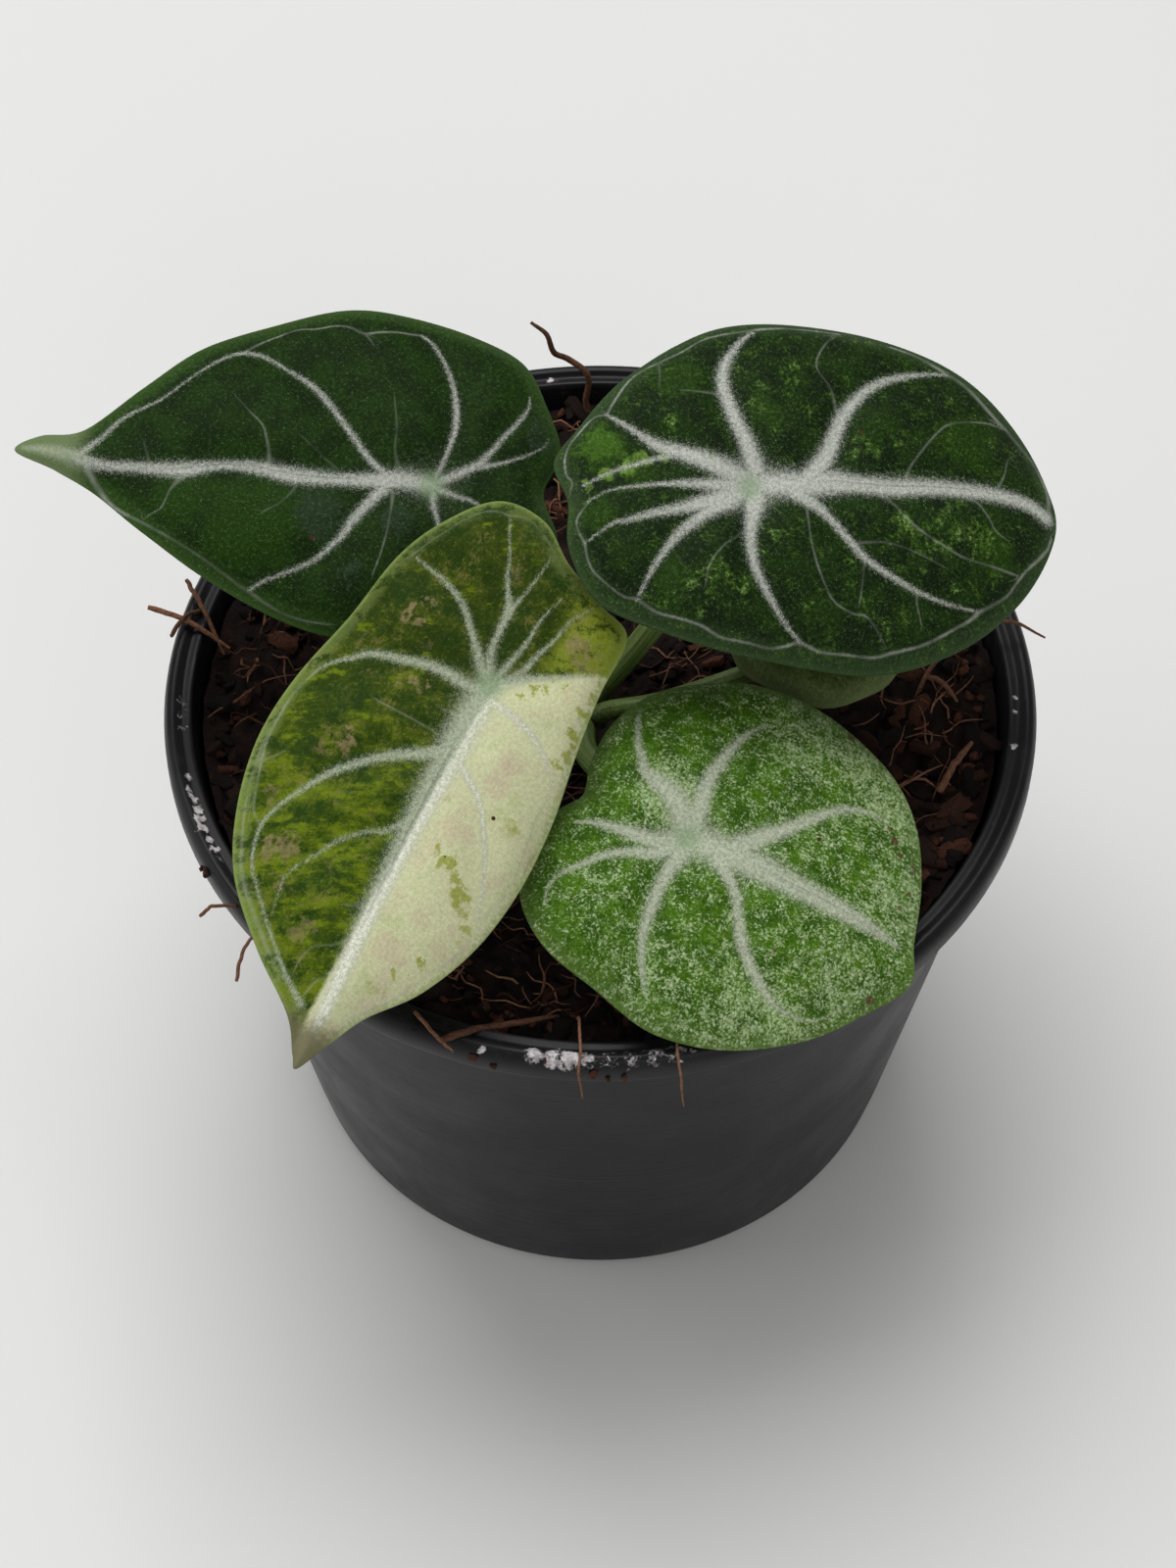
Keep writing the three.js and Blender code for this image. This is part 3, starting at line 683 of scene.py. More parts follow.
# %% Soil: crumbs that cling to the lip
LIP_CRUMBS = [                          # turn round the pot in degrees, height, size and tone
    (254.1, 67.6, 0.8, 0.7), (256.6, 66.6, 0.6, 0.5), (269.1, 67.4, 0.9, 0.75), (270.8, 66.2, 0.5, 0.6),
    (272.8, 66.5, 0.7, 0.8), (263, 68.6, 0.5, 0.6), (209, 67.6, 0.9, 0.5), (207.6, 66.8, 0.6, 0.7),
    (194.6, 68.0, 0.6, 0.4), (246, 68.5, 0.5, 0.4), (287, 68.5, 0.5, 0.5)]
crumb_shape = chip_shape(77)
for degrees, height, size, tone in LIP_CRUMBS:
    reach = RIM_RADIUS + 0.1 if height < 68 else RIM_RADIUS - 0.5
    x, y = reach * math.cos(math.radians(degrees)), reach * math.sin(math.radians(degrees))
    set_copy(crumb_shape, (size, 0.7 * size, 0.55 * size),
             [(draw.uniform(0, 6.3), "Z"), (draw.uniform(0, 3), "X")], (x, y, height), tone)
bpy.data.objects.remove(crumb_shape)
print("crumbs on the lip:", len(LIP_CRUMBS))

# %% [markdown]
# The finish of the litter reads the tone: below 1 it is a chip, from nearly black
# to rust, and from 2 up a fibre, from dark rust to straw. The bed itself has 0. Coir
# is matt and dark brown, with a fine grain. Where that grain dips in the bump, the bed
# is painted almost black, a painted shade in its hollows.

# %% Soil: finish and join
def coir():
    material, tree, sockets = start_finish("moist_coir")
    place = object_place(tree)
    tone = value_of(tree, "tone")
    grain = cloud(place, 2.4, 5, 0.7)
    # Painted shade: near black where the grain, which is also the bump's height, dips into hollows; dark
    # brown coir elsewhere.
    dark = over(step(grain, 0.4, 0.62), (0.0026, 0.0011, 0.0008), (0.016, 0.0062, 0.0038))
    dark = over(step(cloud(place, 0.35, 3), 0.5, 0.72, 0, 0.6), dark, (0.030, 0.010, 0.006))
    husk = over(step(tone, 0.05, 0.98), (0.0045, 0.0018, 0.0012), (0.085, 0.030, 0.015))
    husk = shade(husk, step(grain, 0.3, 0.7, 0.45, 1.35))
    fibre = over(step(tone, 2.0, 2.95), (0.040, 0.013, 0.007), (0.28, 0.135, 0.075))
    fibre = shade(fibre, step(grain, 0.3, 0.7, 0.5, 1.25))
    colour = over(step(tone, 0.001, 0.002), dark, husk)
    colour = over(step(tone, 1.5, 1.6), colour, fibre)
    feed(sockets, colour, step(grain, 0.3, 0.7, 0.75, 0.98), 0.22, grain, 0.35)
    return material


set_tone(soil, 0.0)
alone(soil)
for piece in litter:
    piece.select_set(True)
bpy.ops.object.join()
soil.data.materials.clear()
soil.data.materials.append(coir())
bpy.ops.object.shade_smooth_by_angle(angle=math.radians(50))
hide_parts("soil")
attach(soil, "root")
print("soil in one piece:", len(soil.data.polygons), "faces")

# %% [markdown]
# ## Leaves
#
# Each blade is a shield: the stalk joins it from below, inside its outline, and the
# veins fan out from that point. The outline is a smooth closed line through measured
# points. Rings of points run from the joint out to the margin, round the rounded edge
# and back along the underside. In its own plane, u runs from the joint to the tip
# and v to the left of it. The height adds up what the eye sees on a real blade: its
# fall towards the edges, the dip at the joint, swellings between the veins and a
# rolled, slightly wavy margin.

# %% Leaves: measured outlines, lie and veins
# A vein is a row of points: u, v and its half width there. A fine line is how plain it
# shows, then such a row.
LEAVES = {}
LEAVES["left"] = {
    "joint": (-18.5, 6.5, 98), "lie": (178, 4, -18),
    "fall": (1, 1.5, 3, 2), "reach": (46, 14, 19, 19),
    "outline": [
        (45.6, -1), (41, 1), (36.6, 3.2), (31, 7.4), (24.5, 11.7), (17, 15.2), (10, 17.2), (3, 17.6),
        (-4, 16.4), (-9.5, 13.6), (-13, 9.4), (-14.2, 4.6), (-12.4, -0.6), (-14, -5.6), (-12.2, -10.8),
        (-9.2, -16.3), (-3.6, -19.2), (4, -20.9), (11, -21.2), (18.5, -18.9), (26, -15.2), (32.2, -9.5),
        (38.2, -4.2), (43, -3.2)],
    "veins": [
        [(0, -0.1, 0.79), (3, -0.2, 0.97), (6, 0.2, 0.84), (10, 0.4, 0.7), (15, 0.3, 0.84),
         (19, -0.3, 0.7), (23, -0.3, 0.55), (27, 0.45, 0.79), (31, 0.5, 0.62), (36, 0.45, 0.57),
         (39, -0.3, 0.79), (42, -1, 0.7), (44.6, -1.3, 0.35)],
        [(4.6, 0.4, 0.72), (6.4, 2.6, 0.6), (8.2, 4.9, 0.52), (9.5, 7, 0.4), (11.9, 9.5, 0.3),
         (14, 10.7, 0.26), (16.9, 12, 0.22), (18.8, 13, 0.21)],
        [(5, -0.6, 0.48), (6.9, -2.2, 0.4), (9.8, -6, 0.36), (13.2, -10.1, 0.37), (16.9, -12.6, 0.24),
         (20.3, -14.3, 0.29), (23.2, -13.9, 0.24), (26.9, -11, 0.16), (30.2, -7.8, 0.18),
         (34, -5.5, 0.24), (36.7, -2.4, 0.36), (38.4, -0.6, 0.48)],
        [(-0.2, -0.6, 0.36), (-1.2, -2.8, 0.26), (-2.1, -6, 0.37), (-2.2, -8.6, 0.4), (-1.7, -11.6, 0.32),
         (-0.6, -14.5, 0.26), (1, -17.1, 0.24), (2.2, -18.1, 0.19)],
        [(-0.4, -0.3, 0.48), (-2.7, -1.3, 0.5), (-5, -2.6, 0.48), (-6.4, -4.4, 0.34), (-7.5, -6, 0.32),
         (-8.9, -7.9, 0.29), (-10, -9.8, 0.22), (-10.2, -11.4, 0.12)],
        [(-4.4, -2.1, 0.4), (-7.2, -2.9, 0.29), (-9, -3.7, 0.21), (-10.8, -4.7, 0.16),
         (-12.1, -5.8, 0.11), (-12.7, -7, 0.06)],
        [(-0.2, 0.4, 0.4), (-0.4, 2.4, 0.32), (-1, 4.4, 0.26), (-1.6, 7, 0.24), (-1.6, 11, 0.18),
         (-0.6, 15, 0.12)],
        [(-0.6, 0.3, 0.4), (-2.7, 1.2, 0.29), (-5, 2, 0.24), (-7.6, 4.2, 0.18), (-9.6, 7.6, 0.12)]],
    "lines": [
        (0.6, [(2.2, -18.1, 0.14), (4.9, -18.1, 0.13), (7, -17.8, 0.14), (8.6, -17.5, 0.17),
         (10.2, -18.3, 0.14), (11.9, -18.5, 0.11), (14, -18, 0.11), (16, -17.9, 0.1), (18.2, -16.8, 0.1),
         (20, -15.8, 0.13), (21.5, -14.7, 0.17)]),
        (0.38, [(7.4, -16, 0.09), (8.4, -17.4, 0.14)]),
        (0.68, [(37.4, 1, 0.38), (35.8, 3.2, 0.26), (34.4, 4.6, 0.19), (32.7, 5.6, 0.15)]),
        (0.38, [(32.7, 5.6, 0.15), (28.5, 7.8, 0.13), (24.4, 10.1, 0.12), (20.6, 12.4, 0.15),
         (19, 13.2, 0.19), (16.9, 14.4, 0.14), (14.8, 15.3, 0.12), (12.3, 15.9, 0.1), (9.8, 16.2, 0.09)]),
        (0.34, [(17.8, -1, 0.34), (17.9, -2.2, 0.19), (18.2, -3.5, 0.14), (18.8, -5.1, 0.12),
         (20.3, -6.6, 0.1), (22, -8.4, 0.07)]),
        (0.22, [(14.6, 1.4, 0.26), (15.1, 2.4, 0.15), (16.2, 3.8, 0.12), (18, 5, 0.09)]),
        (0.38, [(4.1, 1.4, 0.26), (4.2, 4, 0.14), (4.4, 6.1, 0.13), (4.9, 8.6, 0.1), (5.6, 11, 0.07)]),
        (0.17, [(3.6, -1.4, 0.26), (4.2, -3.4, 0.14), (4.2, -6, 0.12), (4.7, -9.6, 0.09)]),
        (0.26, [(30.9, -0.6, 0.17), (31.5, -2.2, 0.1)]),
        (0.3, [(27.2, 1.4, 0.34), (28.2, 2.8, 0.14), (29, 4.9, 0.1), (30.4, 5.8, 0.09)]),
        (0.12, [(10.4, -0.8, 0.17), (12, -2, 0.1), (14.6, -4.2, 0.09)])]}
LEAVES["right"] = {
    "joint": (16, 0.4, 105), "lie": (4, -12, 18),
    "fall": (6, 3, 2, 4.5), "reach": (36, 22, 21, 21),
    "outline": [
        (36.7, 0), (36, 5.4), (33.5, 10.8), (28.8, 15.3), (22.4, 18.6), (14.5, 20.6), (6, 20.6),
        (-2, 19.2), (-7.6, 16.6), (-12.6, 12.8), (-15.4, 9.8), (-18, 6.4), (-20.6, 2.4), (-19.3, -2.4),
        (-19.1, -7.4), (-16, -12.6), (-10.6, -15.4), (-3.6, -17.4), (5, -18.3), (14, -18.6),
        (20.4, -17.1), (27.4, -13.1), (33.4, -7)],
    "veins": [
        [(0, 0.5, 1.38), (3, 0.5, 1.29), (6, 0.6, 1.38), (9, 1.2, 1.29), (12, 1.3, 0.95), (16, 1.5, 0.95),
         (20, 2.1, 0.86), (24, 2.5, 0.82), (29, 2.7, 0.77), (33, 2.4, 0.77), (35.4, 1.4, 0.77)],
        [(0.6, 2, 0.98), (-0.5, 5.1, 0.82), (-1.6, 7.4, 0.78), (-2.8, 11.2, 0.7), (-2.6, 13.7, 0.61),
         (-1.8, 15.3, 0.49), (-0.5, 17.2, 0.34), (0.9, 18.5, 0.25)],
        [(6.4, 1.2, 1.07), (8.4, 4, 0.9), (9.5, 6.6, 0.78), (10.7, 9.3, 0.7), (13, 12.2, 0.57),
         (15.1, 13.9, 0.49), (18, 15.2, 0.41), (21.3, 16.2, 0.29), (23.8, 16.7, 0.23)],
        [(-0.4, 0.8, 1.23), (-4.9, 2.4, 0.94), (-7.4, 3.1, 0.82), (-9.9, 3.8, 0.66), (-12, 5.1, 0.43),
         (-13.9, 6.4, 0.33), (-15.4, 7.4, 0.16)],
        [(-8, 2.9, 0.41), (-10, 2.4, 0.33), (-12.4, 1.6, 0.28), (-15.2, 0.6, 0.23), (-18, -0.9, 0.13)],
        [(-1, 0, 0.98), (-4.6, -0.3, 0.66), (-9, -0.5, 0.34), (-12.4, -0.9, 0.23), (-15.3, -1.5, 0.14),
         (-17.4, -2.7, 0.11)],
        [(-0.6, -0.5, 1.07), (-4.4, -2.2, 0.9), (-7.8, -3.2, 0.59), (-10.7, -3.9, 0.45),
         (-13.2, -4.7, 0.33), (-14.9, -5.2, 0.21), (-17.6, -7.1, 0.11)],
        [(-2, -1.6, 0.98), (-4.8, -3.4, 0.74), (-6.2, -4.6, 0.61), (-7.8, -6, 0.51), (-9.2, -7.8, 0.41),
         (-10.4, -9.7, 0.31), (-11.2, -11.4, 0.22), (-11.9, -12.9, 0.15)],
        [(0.6, -1, 1.23), (0.2, -3.4, 0.78), (-0.1, -5.5, 0.66), (0.1, -7.6, 0.59), (0.7, -9.5, 0.53),
         (1.8, -11.4, 0.45), (3.1, -13.3, 0.34), (4.4, -14.9, 0.27), (6.2, -16.4, 0.2)],
        [(5, -0.4, 0.9), (7.2, -1.7, 0.66), (8.8, -3, 0.49), (10.9, -5.1, 0.49), (13, -7, 0.45),
         (16.2, -8.6, 0.39), (19.3, -9.8, 0.31), (23, -10.5, 0.22), (26.8, -10.6, 0.16)]],
    "lines": [
        (0.72, [(-15.4, 7.4, 0.14), (-16.6, 7.2, 0.12), (-18, 5.7, 0.1), (-19.1, 4.1, 0.1),
         (-19.6, 2.4, 0.1), (-19.5, 0.7, 0.1), (-18.9, -0.3, 0.1), (-19.1, -1.3, 0.09)]),
        (0.62, [(-17.2, -2.6, 0.1), (-18.4, -4.4, 0.1), (-18.3, -5.8, 0.1), (-17.6, -7.1, 0.14),
         (-17.3, -8.4, 0.1), (-16.6, -9.9, 0.1), (-14.9, -11.5, 0.1), (-13.2, -12.6, 0.1),
         (-11.8, -12.9, 0.17), (-9.9, -14.2, 0.13), (-7.4, -14.9, 0.12), (-4.9, -15.6, 0.14),
         (-2.8, -16.5, 0.12), (0.1, -16.8, 0.12), (2.6, -17.1, 0.13), (4.3, -16.8, 0.14),
         (6.1, -16.3, 0.19), (8.4, -17, 0.14), (11.3, -17.1, 0.12), (14.3, -17.1, 0.13),
         (16.4, -16.5, 0.16), (18.9, -15.7, 0.14), (20.9, -14.8, 0.16), (23.4, -13.2, 0.16),
         (25.5, -11.8, 0.18), (26.8, -10.6, 0.22), (28.4, -9.6, 0.18), (30.3, -8.2, 0.16),
         (31.3, -6.8, 0.16), (32.6, -5.1, 0.17), (34.3, -3.4, 0.2), (35.5, -2, 0.17), (36, -0.6, 0.17)]),
        (0.68, [(-15.3, 7.5, 0.13), (-14.7, 8.7, 0.12), (-13.2, 11.2, 0.11), (-11.6, 13, 0.11),
         (-9.5, 14.2, 0.13), (-7, 15.5, 0.1), (-4.9, 17, 0.1), (-2.8, 17.8, 0.12), (0.1, 18.6, 0.15),
         (2.2, 19.2, 0.17), (5.1, 19.7, 0.13), (8.4, 20, 0.1), (11.3, 20.1, 0.09)]),
        (0.55, [(17.2, 19.3, 0.14), (20.1, 18.6, 0.21), (22.6, 17.4, 0.26), (25.1, 16.2, 0.29),
         (27.2, 14.5, 0.29), (29.3, 12.6, 0.29), (30.9, 11.4, 0.29), (32.6, 9.9, 0.29), (34.3, 8.3, 0.26),
         (35.4, 6.2, 0.26), (35.9, 4.1, 0.26), (35.6, 1.6, 0.34)]),
        (0.34, [(17.8, 3, 0.26), (18.2, 4.1, 0.14), (19.5, 6, 0.13), (21.3, 8.3, 0.12), (23, 9.9, 0.12),
         (25.5, 10.8, 0.12), (28.4, 11.4, 0.12), (30.6, 11.4, 0.14)]),
        (0.42, [(14.6, 0.4, 0.34), (15.9, -0.5, 0.2), (17.6, -2.2, 0.17), (19.3, -3.4, 0.15),
         (21.8, -4.5, 0.14), (24.3, -5.4, 0.13), (27.6, -5.7, 0.13), (31.2, -5.9, 0.13)]),
        (0.34, [(25.2, 1.6, 0.26), (26.4, 1.2, 0.15), (27.6, -0.5, 0.12), (28.4, -1.8, 0.11),
         (29.9, -2.5, 0.09)]),
        (0.36, [(6.1, -1.4, 0.26), (6.2, -3, 0.14), (6.4, -5.5, 0.12), (7, -8, 0.12), (8.1, -10.5, 0.12),
         (9.3, -12.2, 0.12), (11.4, -13.2, 0.12), (13.1, -13.4, 0.12), (15.2, -15.6, 0.1)]),
        (0.26, [(12.8, -7.2, 0.17), (12.5, -9.3, 0.11), (12.1, -12, 0.09)]),
        (0.34, [(9.9, 9.6, 0.26), (9.2, 12.2, 0.13), (8.1, 13.7, 0.11), (7.7, 14.9, 0.12),
         (8.3, 16.6, 0.12), (9.4, 18.3, 0.12), (10.6, 19.5, 0.14)]),
        (0.32, [(-0.9, -5.4, 0.21), (-1.6, -6, 0.13), (-3.1, -7.2, 0.11), (-4.6, -9.3, 0.11),
         (-5, -11.4, 0.09)]),
        (0.26, [(-3.4, 10.4, 0.26), (-4.9, 10.3, 0.12), (-7.6, 10.3, 0.09)]),
        (0.21, [(11.6, -5.4, 0.17), (14.8, -5.1, 0.11), (18, -5.6, 0.1), (22, -6.8, 0.09)]),
        (0.3, [(-9.5, 14.2, 0.12), (-9.6, 12.4, 0.1), (-9.8, 11, 0.07)]),
        (0.26, [(29, 3.6, 0.21), (29.9, 5.3, 0.11), (30.6, 7.4, 0.1), (32, 8.4, 0.09)]),
        (0.26, [(19, -10, 0.17), (19, -11.3, 0.11), (19.5, -13.2, 0.09)])]}
LEAVES["front_left"] = {
    "joint": (-11.8, -18.6, 95), "lie": (240, -16, -8),
    "fall": (2.5, -2.5, 7, 1.5), "reach": (45, 19, 16, 19),
    "outline": [
        (45.4, 2.2), (42, 3.7), (37.4, 5.6), (32, 9.4), (25.3, 11.9), (17.5, 12.8), (9, 12.4), (1, 11.1),
        (-5.8, 10.2), (-12.4, 9.8), (-13.6, 6), (-15.6, 1), (-18.6, -3.6), (-18.4, -9), (-13.7, -13.4),
        (-8, -16.3), (0, -17.6), (8.5, -19.1), (16.5, -19.3), (24, -17.5), (30.6, -13.9), (36.4, -7.7),
        (40.8, -1.6), (44.2, 1)],
    "veins": [
        [(0, -0.1, 1), (3, -0.1, 1.5), (7, 0, 1.6), (10, 0.2, 1.45), (14, 0.3, 1.35), (18, 0.5, 1.15),
         (22, 0.75, 1), (27, 1, 0.95), (32, 1.4, 0.85), (36, 1.8, 0.75), (39.5, 2, 0.7), (41.6, 2, 0.4)],
        [(0.8, -0.6, 0.92), (1.2, -2, 0.67), (1.1, -4.5, 0.62), (1.3, -7, 0.55), (2, -9.8, 0.5),
         (2.9, -12.9, 0.42), (4.2, -14.5, 0.34), (5.4, -16, 0.25), (7, -17.2, 0.2)],
        [(8.6, -0.4, 0.92), (9.8, -1.8, 0.71), (11.2, -4.2, 0.59), (13.1, -6.8, 0.5), (16.2, -9.9, 0.44),
         (18.6, -11.4, 0.35), (21.5, -13, 0.28), (24.6, -13.9, 0.25), (28.3, -12.9, 0.21),
         (31.4, -10.2, 0.18), (35, -6.4, 0.22), (37.5, -3.5, 0.3), (39.4, -0.6, 0.42)],
        [(17, -0.2, 0.5), (19.2, -1.6, 0.34), (20.2, -3.2, 0.25), (22.5, -5.6, 0.23), (24.6, -6.7, 0.21),
         (26.2, -7.7, 0.17), (28.3, -8.7, 0.14), (30.4, -8.4, 0.1), (32.5, -8, 0.08)],
        [(-0.4, -0.7, 0.67), (-2.1, -2.5, 0.5), (-4.2, -4.6, 0.39), (-6.3, -6.8, 0.35),
         (-7.5, -9.2, 0.32), (-8.2, -11.6, 0.24), (-8.8, -14, 0.15)],
        [(-0.6, -0.5, 0.63), (-3, -1.6, 0.43), (-5.4, -1.9, 0.42), (-8.2, -2.2, 0.5), (-9.6, -3.1, 0.32),
         (-11.3, -4.1, 0.24), (-13.3, -4.9, 0.17), (-15.2, -6, 0.14), (-17.2, -7.1, 0.1)],
        [(-7.4, -1.9, 0.45), (-8.8, -1.8, 0.29), (-10.6, -1.4, 0.18), (-13.3, -1, 0.13),
         (-15.4, -0.7, 0.08)],
        [(-0.6, 0.1, 0.5), (-3.4, 0.8, 0.31), (-5.9, 1.3, 0.26), (-8.4, 1.4, 0.19), (-10.4, 1.9, 0.12),
         (-12.3, 2.6, 0.07)],
        [(-0.5, 0.6, 0.59), (-2.4, 2.2, 0.4), (-5, 2.9, 0.3), (-7.1, 3.6, 0.23), (-10, 4.2, 0.17),
         (-12.1, 5.3, 0.11), (-13.4, 6, 0.07)],
        [(-0.6, 0.8, 0.63), (-2.4, 3.2, 0.49), (-3.8, 5.3, 0.35), (-5.2, 7.1, 0.28), (-6.4, 8.6, 0.21)],
        [(1.5, 0.6, 0.49), (1.8, 3, 0.39), (2.2, 5, 0.41), (2.9, 7.1, 0.36), (3.9, 8.6, 0.3),
         (4.9, 9.9, 0.2), (6, 10.9, 0.12)],
        [(6.6, 1, 0.61), (9, 1.6, 0.42), (10.2, 3, 0.41), (11.2, 4.6, 0.39), (12.5, 5.9, 0.36),
         (14.2, 7.1, 0.35), (16.2, 8.4, 0.29), (18.6, 9.5, 0.25), (22.5, 11, 0.14)]],
    "lines": [
        (0.59, [(40, 3.8, 0.34), (37.9, 4.8, 0.26), (35.8, 6.3, 0.2), (33.7, 7.6, 0.17),
         (31.7, 8.6, 0.15), (29.6, 9.6, 0.15), (27.1, 10.7, 0.15), (24.6, 11.1, 0.17), (22.1, 11.2, 0.15),
         (19.6, 11.7, 0.12), (16.7, 11.9, 0.1), (13.7, 11.6, 0.1), (9.6, 11, 0.1), (5.4, 10.6, 0.1)]),
        (0.59, [(-17.2, -7.1, 0.14), (-17.1, -8.3, 0.12), (-16.5, -9.5, 0.12), (-15, -11, 0.12),
         (-12.9, -12.2, 0.12), (-10.9, -13.5, 0.12), (-9, -14.5, 0.17)]),
        (0.68, [(7, -17.2, 0.17), (8.1, -17.5, 0.17), (10.4, -18.1, 0.17), (13.3, -18.2, 0.17),
         (15.8, -18.1, 0.17), (18.3, -17.5, 0.17), (20.4, -16.8, 0.17), (22.1, -16.2, 0.17),
         (23.7, -15.4, 0.17), (24.7, -14, 0.21)]),
        (0.51, [(15, -18.5, 0.12), (18.7, -18, 0.17), (22.1, -17.1, 0.17), (25.4, -15.8, 0.19),
         (27.9, -14.5, 0.22), (30, -13.3, 0.26), (32.1, -11.2, 0.29), (34.1, -8.9, 0.29),
         (35.8, -6.8, 0.26), (37.3, -4.8, 0.2)]),
        (0.42, [(7.4, -1.2, 0.34), (7.5, -2.3, 0.17), (7.5, -4.1, 0.13), (7.5, -7, 0.12),
         (7.4, -9.8, 0.09)]),
        (0.42, [(27.2, 0.4, 0.34), (28.2, -1.2, 0.14)]),
        (0.42, [(35, 0.8, 0.34), (36.7, -0.4, 0.15), (38.4, -0.8, 0.12)]),
        (0.34, [(31.4, 0.4, 0.34), (32.5, -0.6, 0.14), (33.7, -2.3, 0.12), (35.4, -2.9, 0.12),
         (37.6, -2.9, 0.1)]),
        (0.42, [(19.4, 1.2, 0.34), (19.6, 2.3, 0.2), (20.8, 4.2, 0.17), (22.5, 6.1, 0.15),
         (24.2, 7.6, 0.14), (26.2, 8.4, 0.12), (29.6, 8.6, 0.1)]),
        (0.3, [(4.7, -1, 0.34), (5, -2.8, 0.12)]),
        (0.3, [(-15.8, -0.9, 0.12), (-16.8, -2.6, 0.12), (-17.8, -5, 0.12), (-17.3, -7, 0.14)]),
        (0.34, [(16.6, -15.6, 0.1), (17.6, -16.4, 0.14), (18.3, -17.3, 0.17)])]}
LEAVES["front_right"] = {
    "joint": (9.4, -29.2, 82), "lie": (-25, -17, 9),
    "fall": (3.5, 2.5, 2.5, 4.5), "reach": (29, 14, 22, 22),
    "outline": [
        (29, -0.6), (27.4, 3.8), (25.4, 10), (21.7, 15.9), (16, 20.4), (8, 22.5), (0.6, 21.4),
        (-5.2, 18.9), (-10.6, 14.4), (-13, 8.4), (-13, 3.2), (-12, -0.6), (-13.6, -4), (-14, -9.4),
        (-12, -14.2), (-7, -17.8), (0, -19), (7.4, -19.6), (15, -17.3), (21.6, -12.2), (26, -6.2)],
    "veins": [
        [(0, 0.2, 1.42), (3, 0.4, 1.52), (6, 0.7, 1.52), (9, 1, 1.42), (12, 1.2, 1.19), (15, 1.5, 1.04),
         (18, 1.8, 0.95), (21, 2, 0.76), (24, 2.1, 0.47), (26, 2.1, 0.19)],
        [(-0.1, 1.5, 1.04), (-0.6, 4.3, 0.85), (-1, 6.8, 0.76), (-0.8, 9.5, 0.65), (-0.4, 12, 0.52),
         (0.4, 14.4, 0.33), (1.5, 16.2, 0.17)],
        [(5, 1.4, 1.23), (7.1, 4.3, 0.9), (8.8, 6.4, 0.74), (10.6, 8.9, 0.62), (12.5, 11.4, 0.49),
         (14.2, 12.9, 0.4), (15.8, 13.6, 0.33), (18.4, 14.1, 0.17)],
        [(-0.6, 1, 1.23), (-3, 2.9, 1.14), (-5.4, 3.7, 0.9), (-7.4, 4.3, 0.62), (-8.7, 5.8, 0.46),
         (-9.8, 7.4, 0.36), (-10.6, 9.2, 0.27), (-11.1, 10.8, 0.14)],
        [(-0.5, -0.6, 1.23), (-2.5, -2.2, 0.9), (-5, -2.8, 0.76), (-7.5, -3.2, 0.57), (-9.6, -3.7, 0.38),
         (-11.4, -4.6, 0.17)],
        [(-0.6, -1.6, 1.04), (-2.6, -3.8, 0.71), (-4.6, -4.8, 0.55), (-6.7, -6.3, 0.44),
         (-8.3, -8.2, 0.38), (-9.6, -9.8, 0.28), (-10.4, -11.6, 0.19), (-9.8, -13.8, 0.1)],
        [(0.2, -1, 1.23), (0, -3.6, 0.78), (-0.1, -6.1, 0.68), (0.2, -8.6, 0.65), (0.6, -11.1, 0.57),
         (1.5, -13.2, 0.46), (2.8, -15.3, 0.32), (4.4, -17.2, 0.14)],
        [(4, -0.4, 1.14), (5.8, -1.8, 0.71), (7.5, -3.2, 0.57), (9, -5.3, 0.57), (10.4, -7.2, 0.65),
         (12.3, -8.8, 0.57), (14.4, -10.1, 0.52), (17, -11.1, 0.34), (19.8, -10.8, 0.19),
         (22.2, -9.2, 0.11), (23.8, -6.3, 0.1)]],
    "lines": [
        (0.24, [(7, 4.6, 0.4), (6.7, 6.8, 0.2), (6.9, 11, 0.16), (7.8, 14, 0.1)]),
        (0.24, [(16.6, 0.4, 0.4), (17.5, -1.1, 0.2), (18.3, -3.2, 0.16), (19.6, -5.6, 0.12)]),
        (0.24, [(19.4, 1, 0.4), (20.2, -2.3, 0.2), (20.4, -6, 0.12)])]}
LEAVES["small"] = {
    "joint": (24, 1.8, 80), "lie": (-20, -9, 6),
    "fall": (1.4, 0.8, 1.2, 1.2), "reach": (11, 9, 10, 10),
    "outline": [
        (11, 0), (9.4, 4.4), (6, 8), (0.6, 9.4), (-4.8, 8.2), (-8.2, 4.2), (-7.4, 0), (-8.6, -4.2),
        (-5.2, -8.4), (0.8, -9.6), (6.4, -8), (9.8, -4.2)],
    "veins": [
        [(-0.3, 0, 0.4), (5, 0.2, 0.3), (10, 0, 0.14)],
        [(0, 0.2, 0.3), (2.6, 4, 0.2), (6, 6.4, 0.1)],
        [(0, -0.2, 0.3), (2.6, -4, 0.2), (6, -6.2, 0.1)],
        [(-0.3, 0.2, 0.26), (-2.4, 2.6, 0.18), (-4.6, 5.4, 0.1)],
        [(-0.3, -0.2, 0.26), (-2.4, -2.6, 0.18), (-4.6, -5.4, 0.1)]],
    "lines": [
        (0.4, [(2, 0.2, 0.14), (5, 2.6, 0.12), (8.4, 3, 0.08)]),
        (0.4, [(2, -0.2, 0.14), (5, -2.6, 0.12), (8.4, -3, 0.08)])]}
print("leaves:", {name: len(leaf["veins"]) for name, leaf in LEAVES.items()})

# %% [markdown]
# The same measurements drive the form and the pattern. For each point of a blade,
# `vein_strength` gives 1 on a vein and falls off smoothly to its sides, which the
# finish later cuts to a powdery edge. It also raises the ribs on the underside.

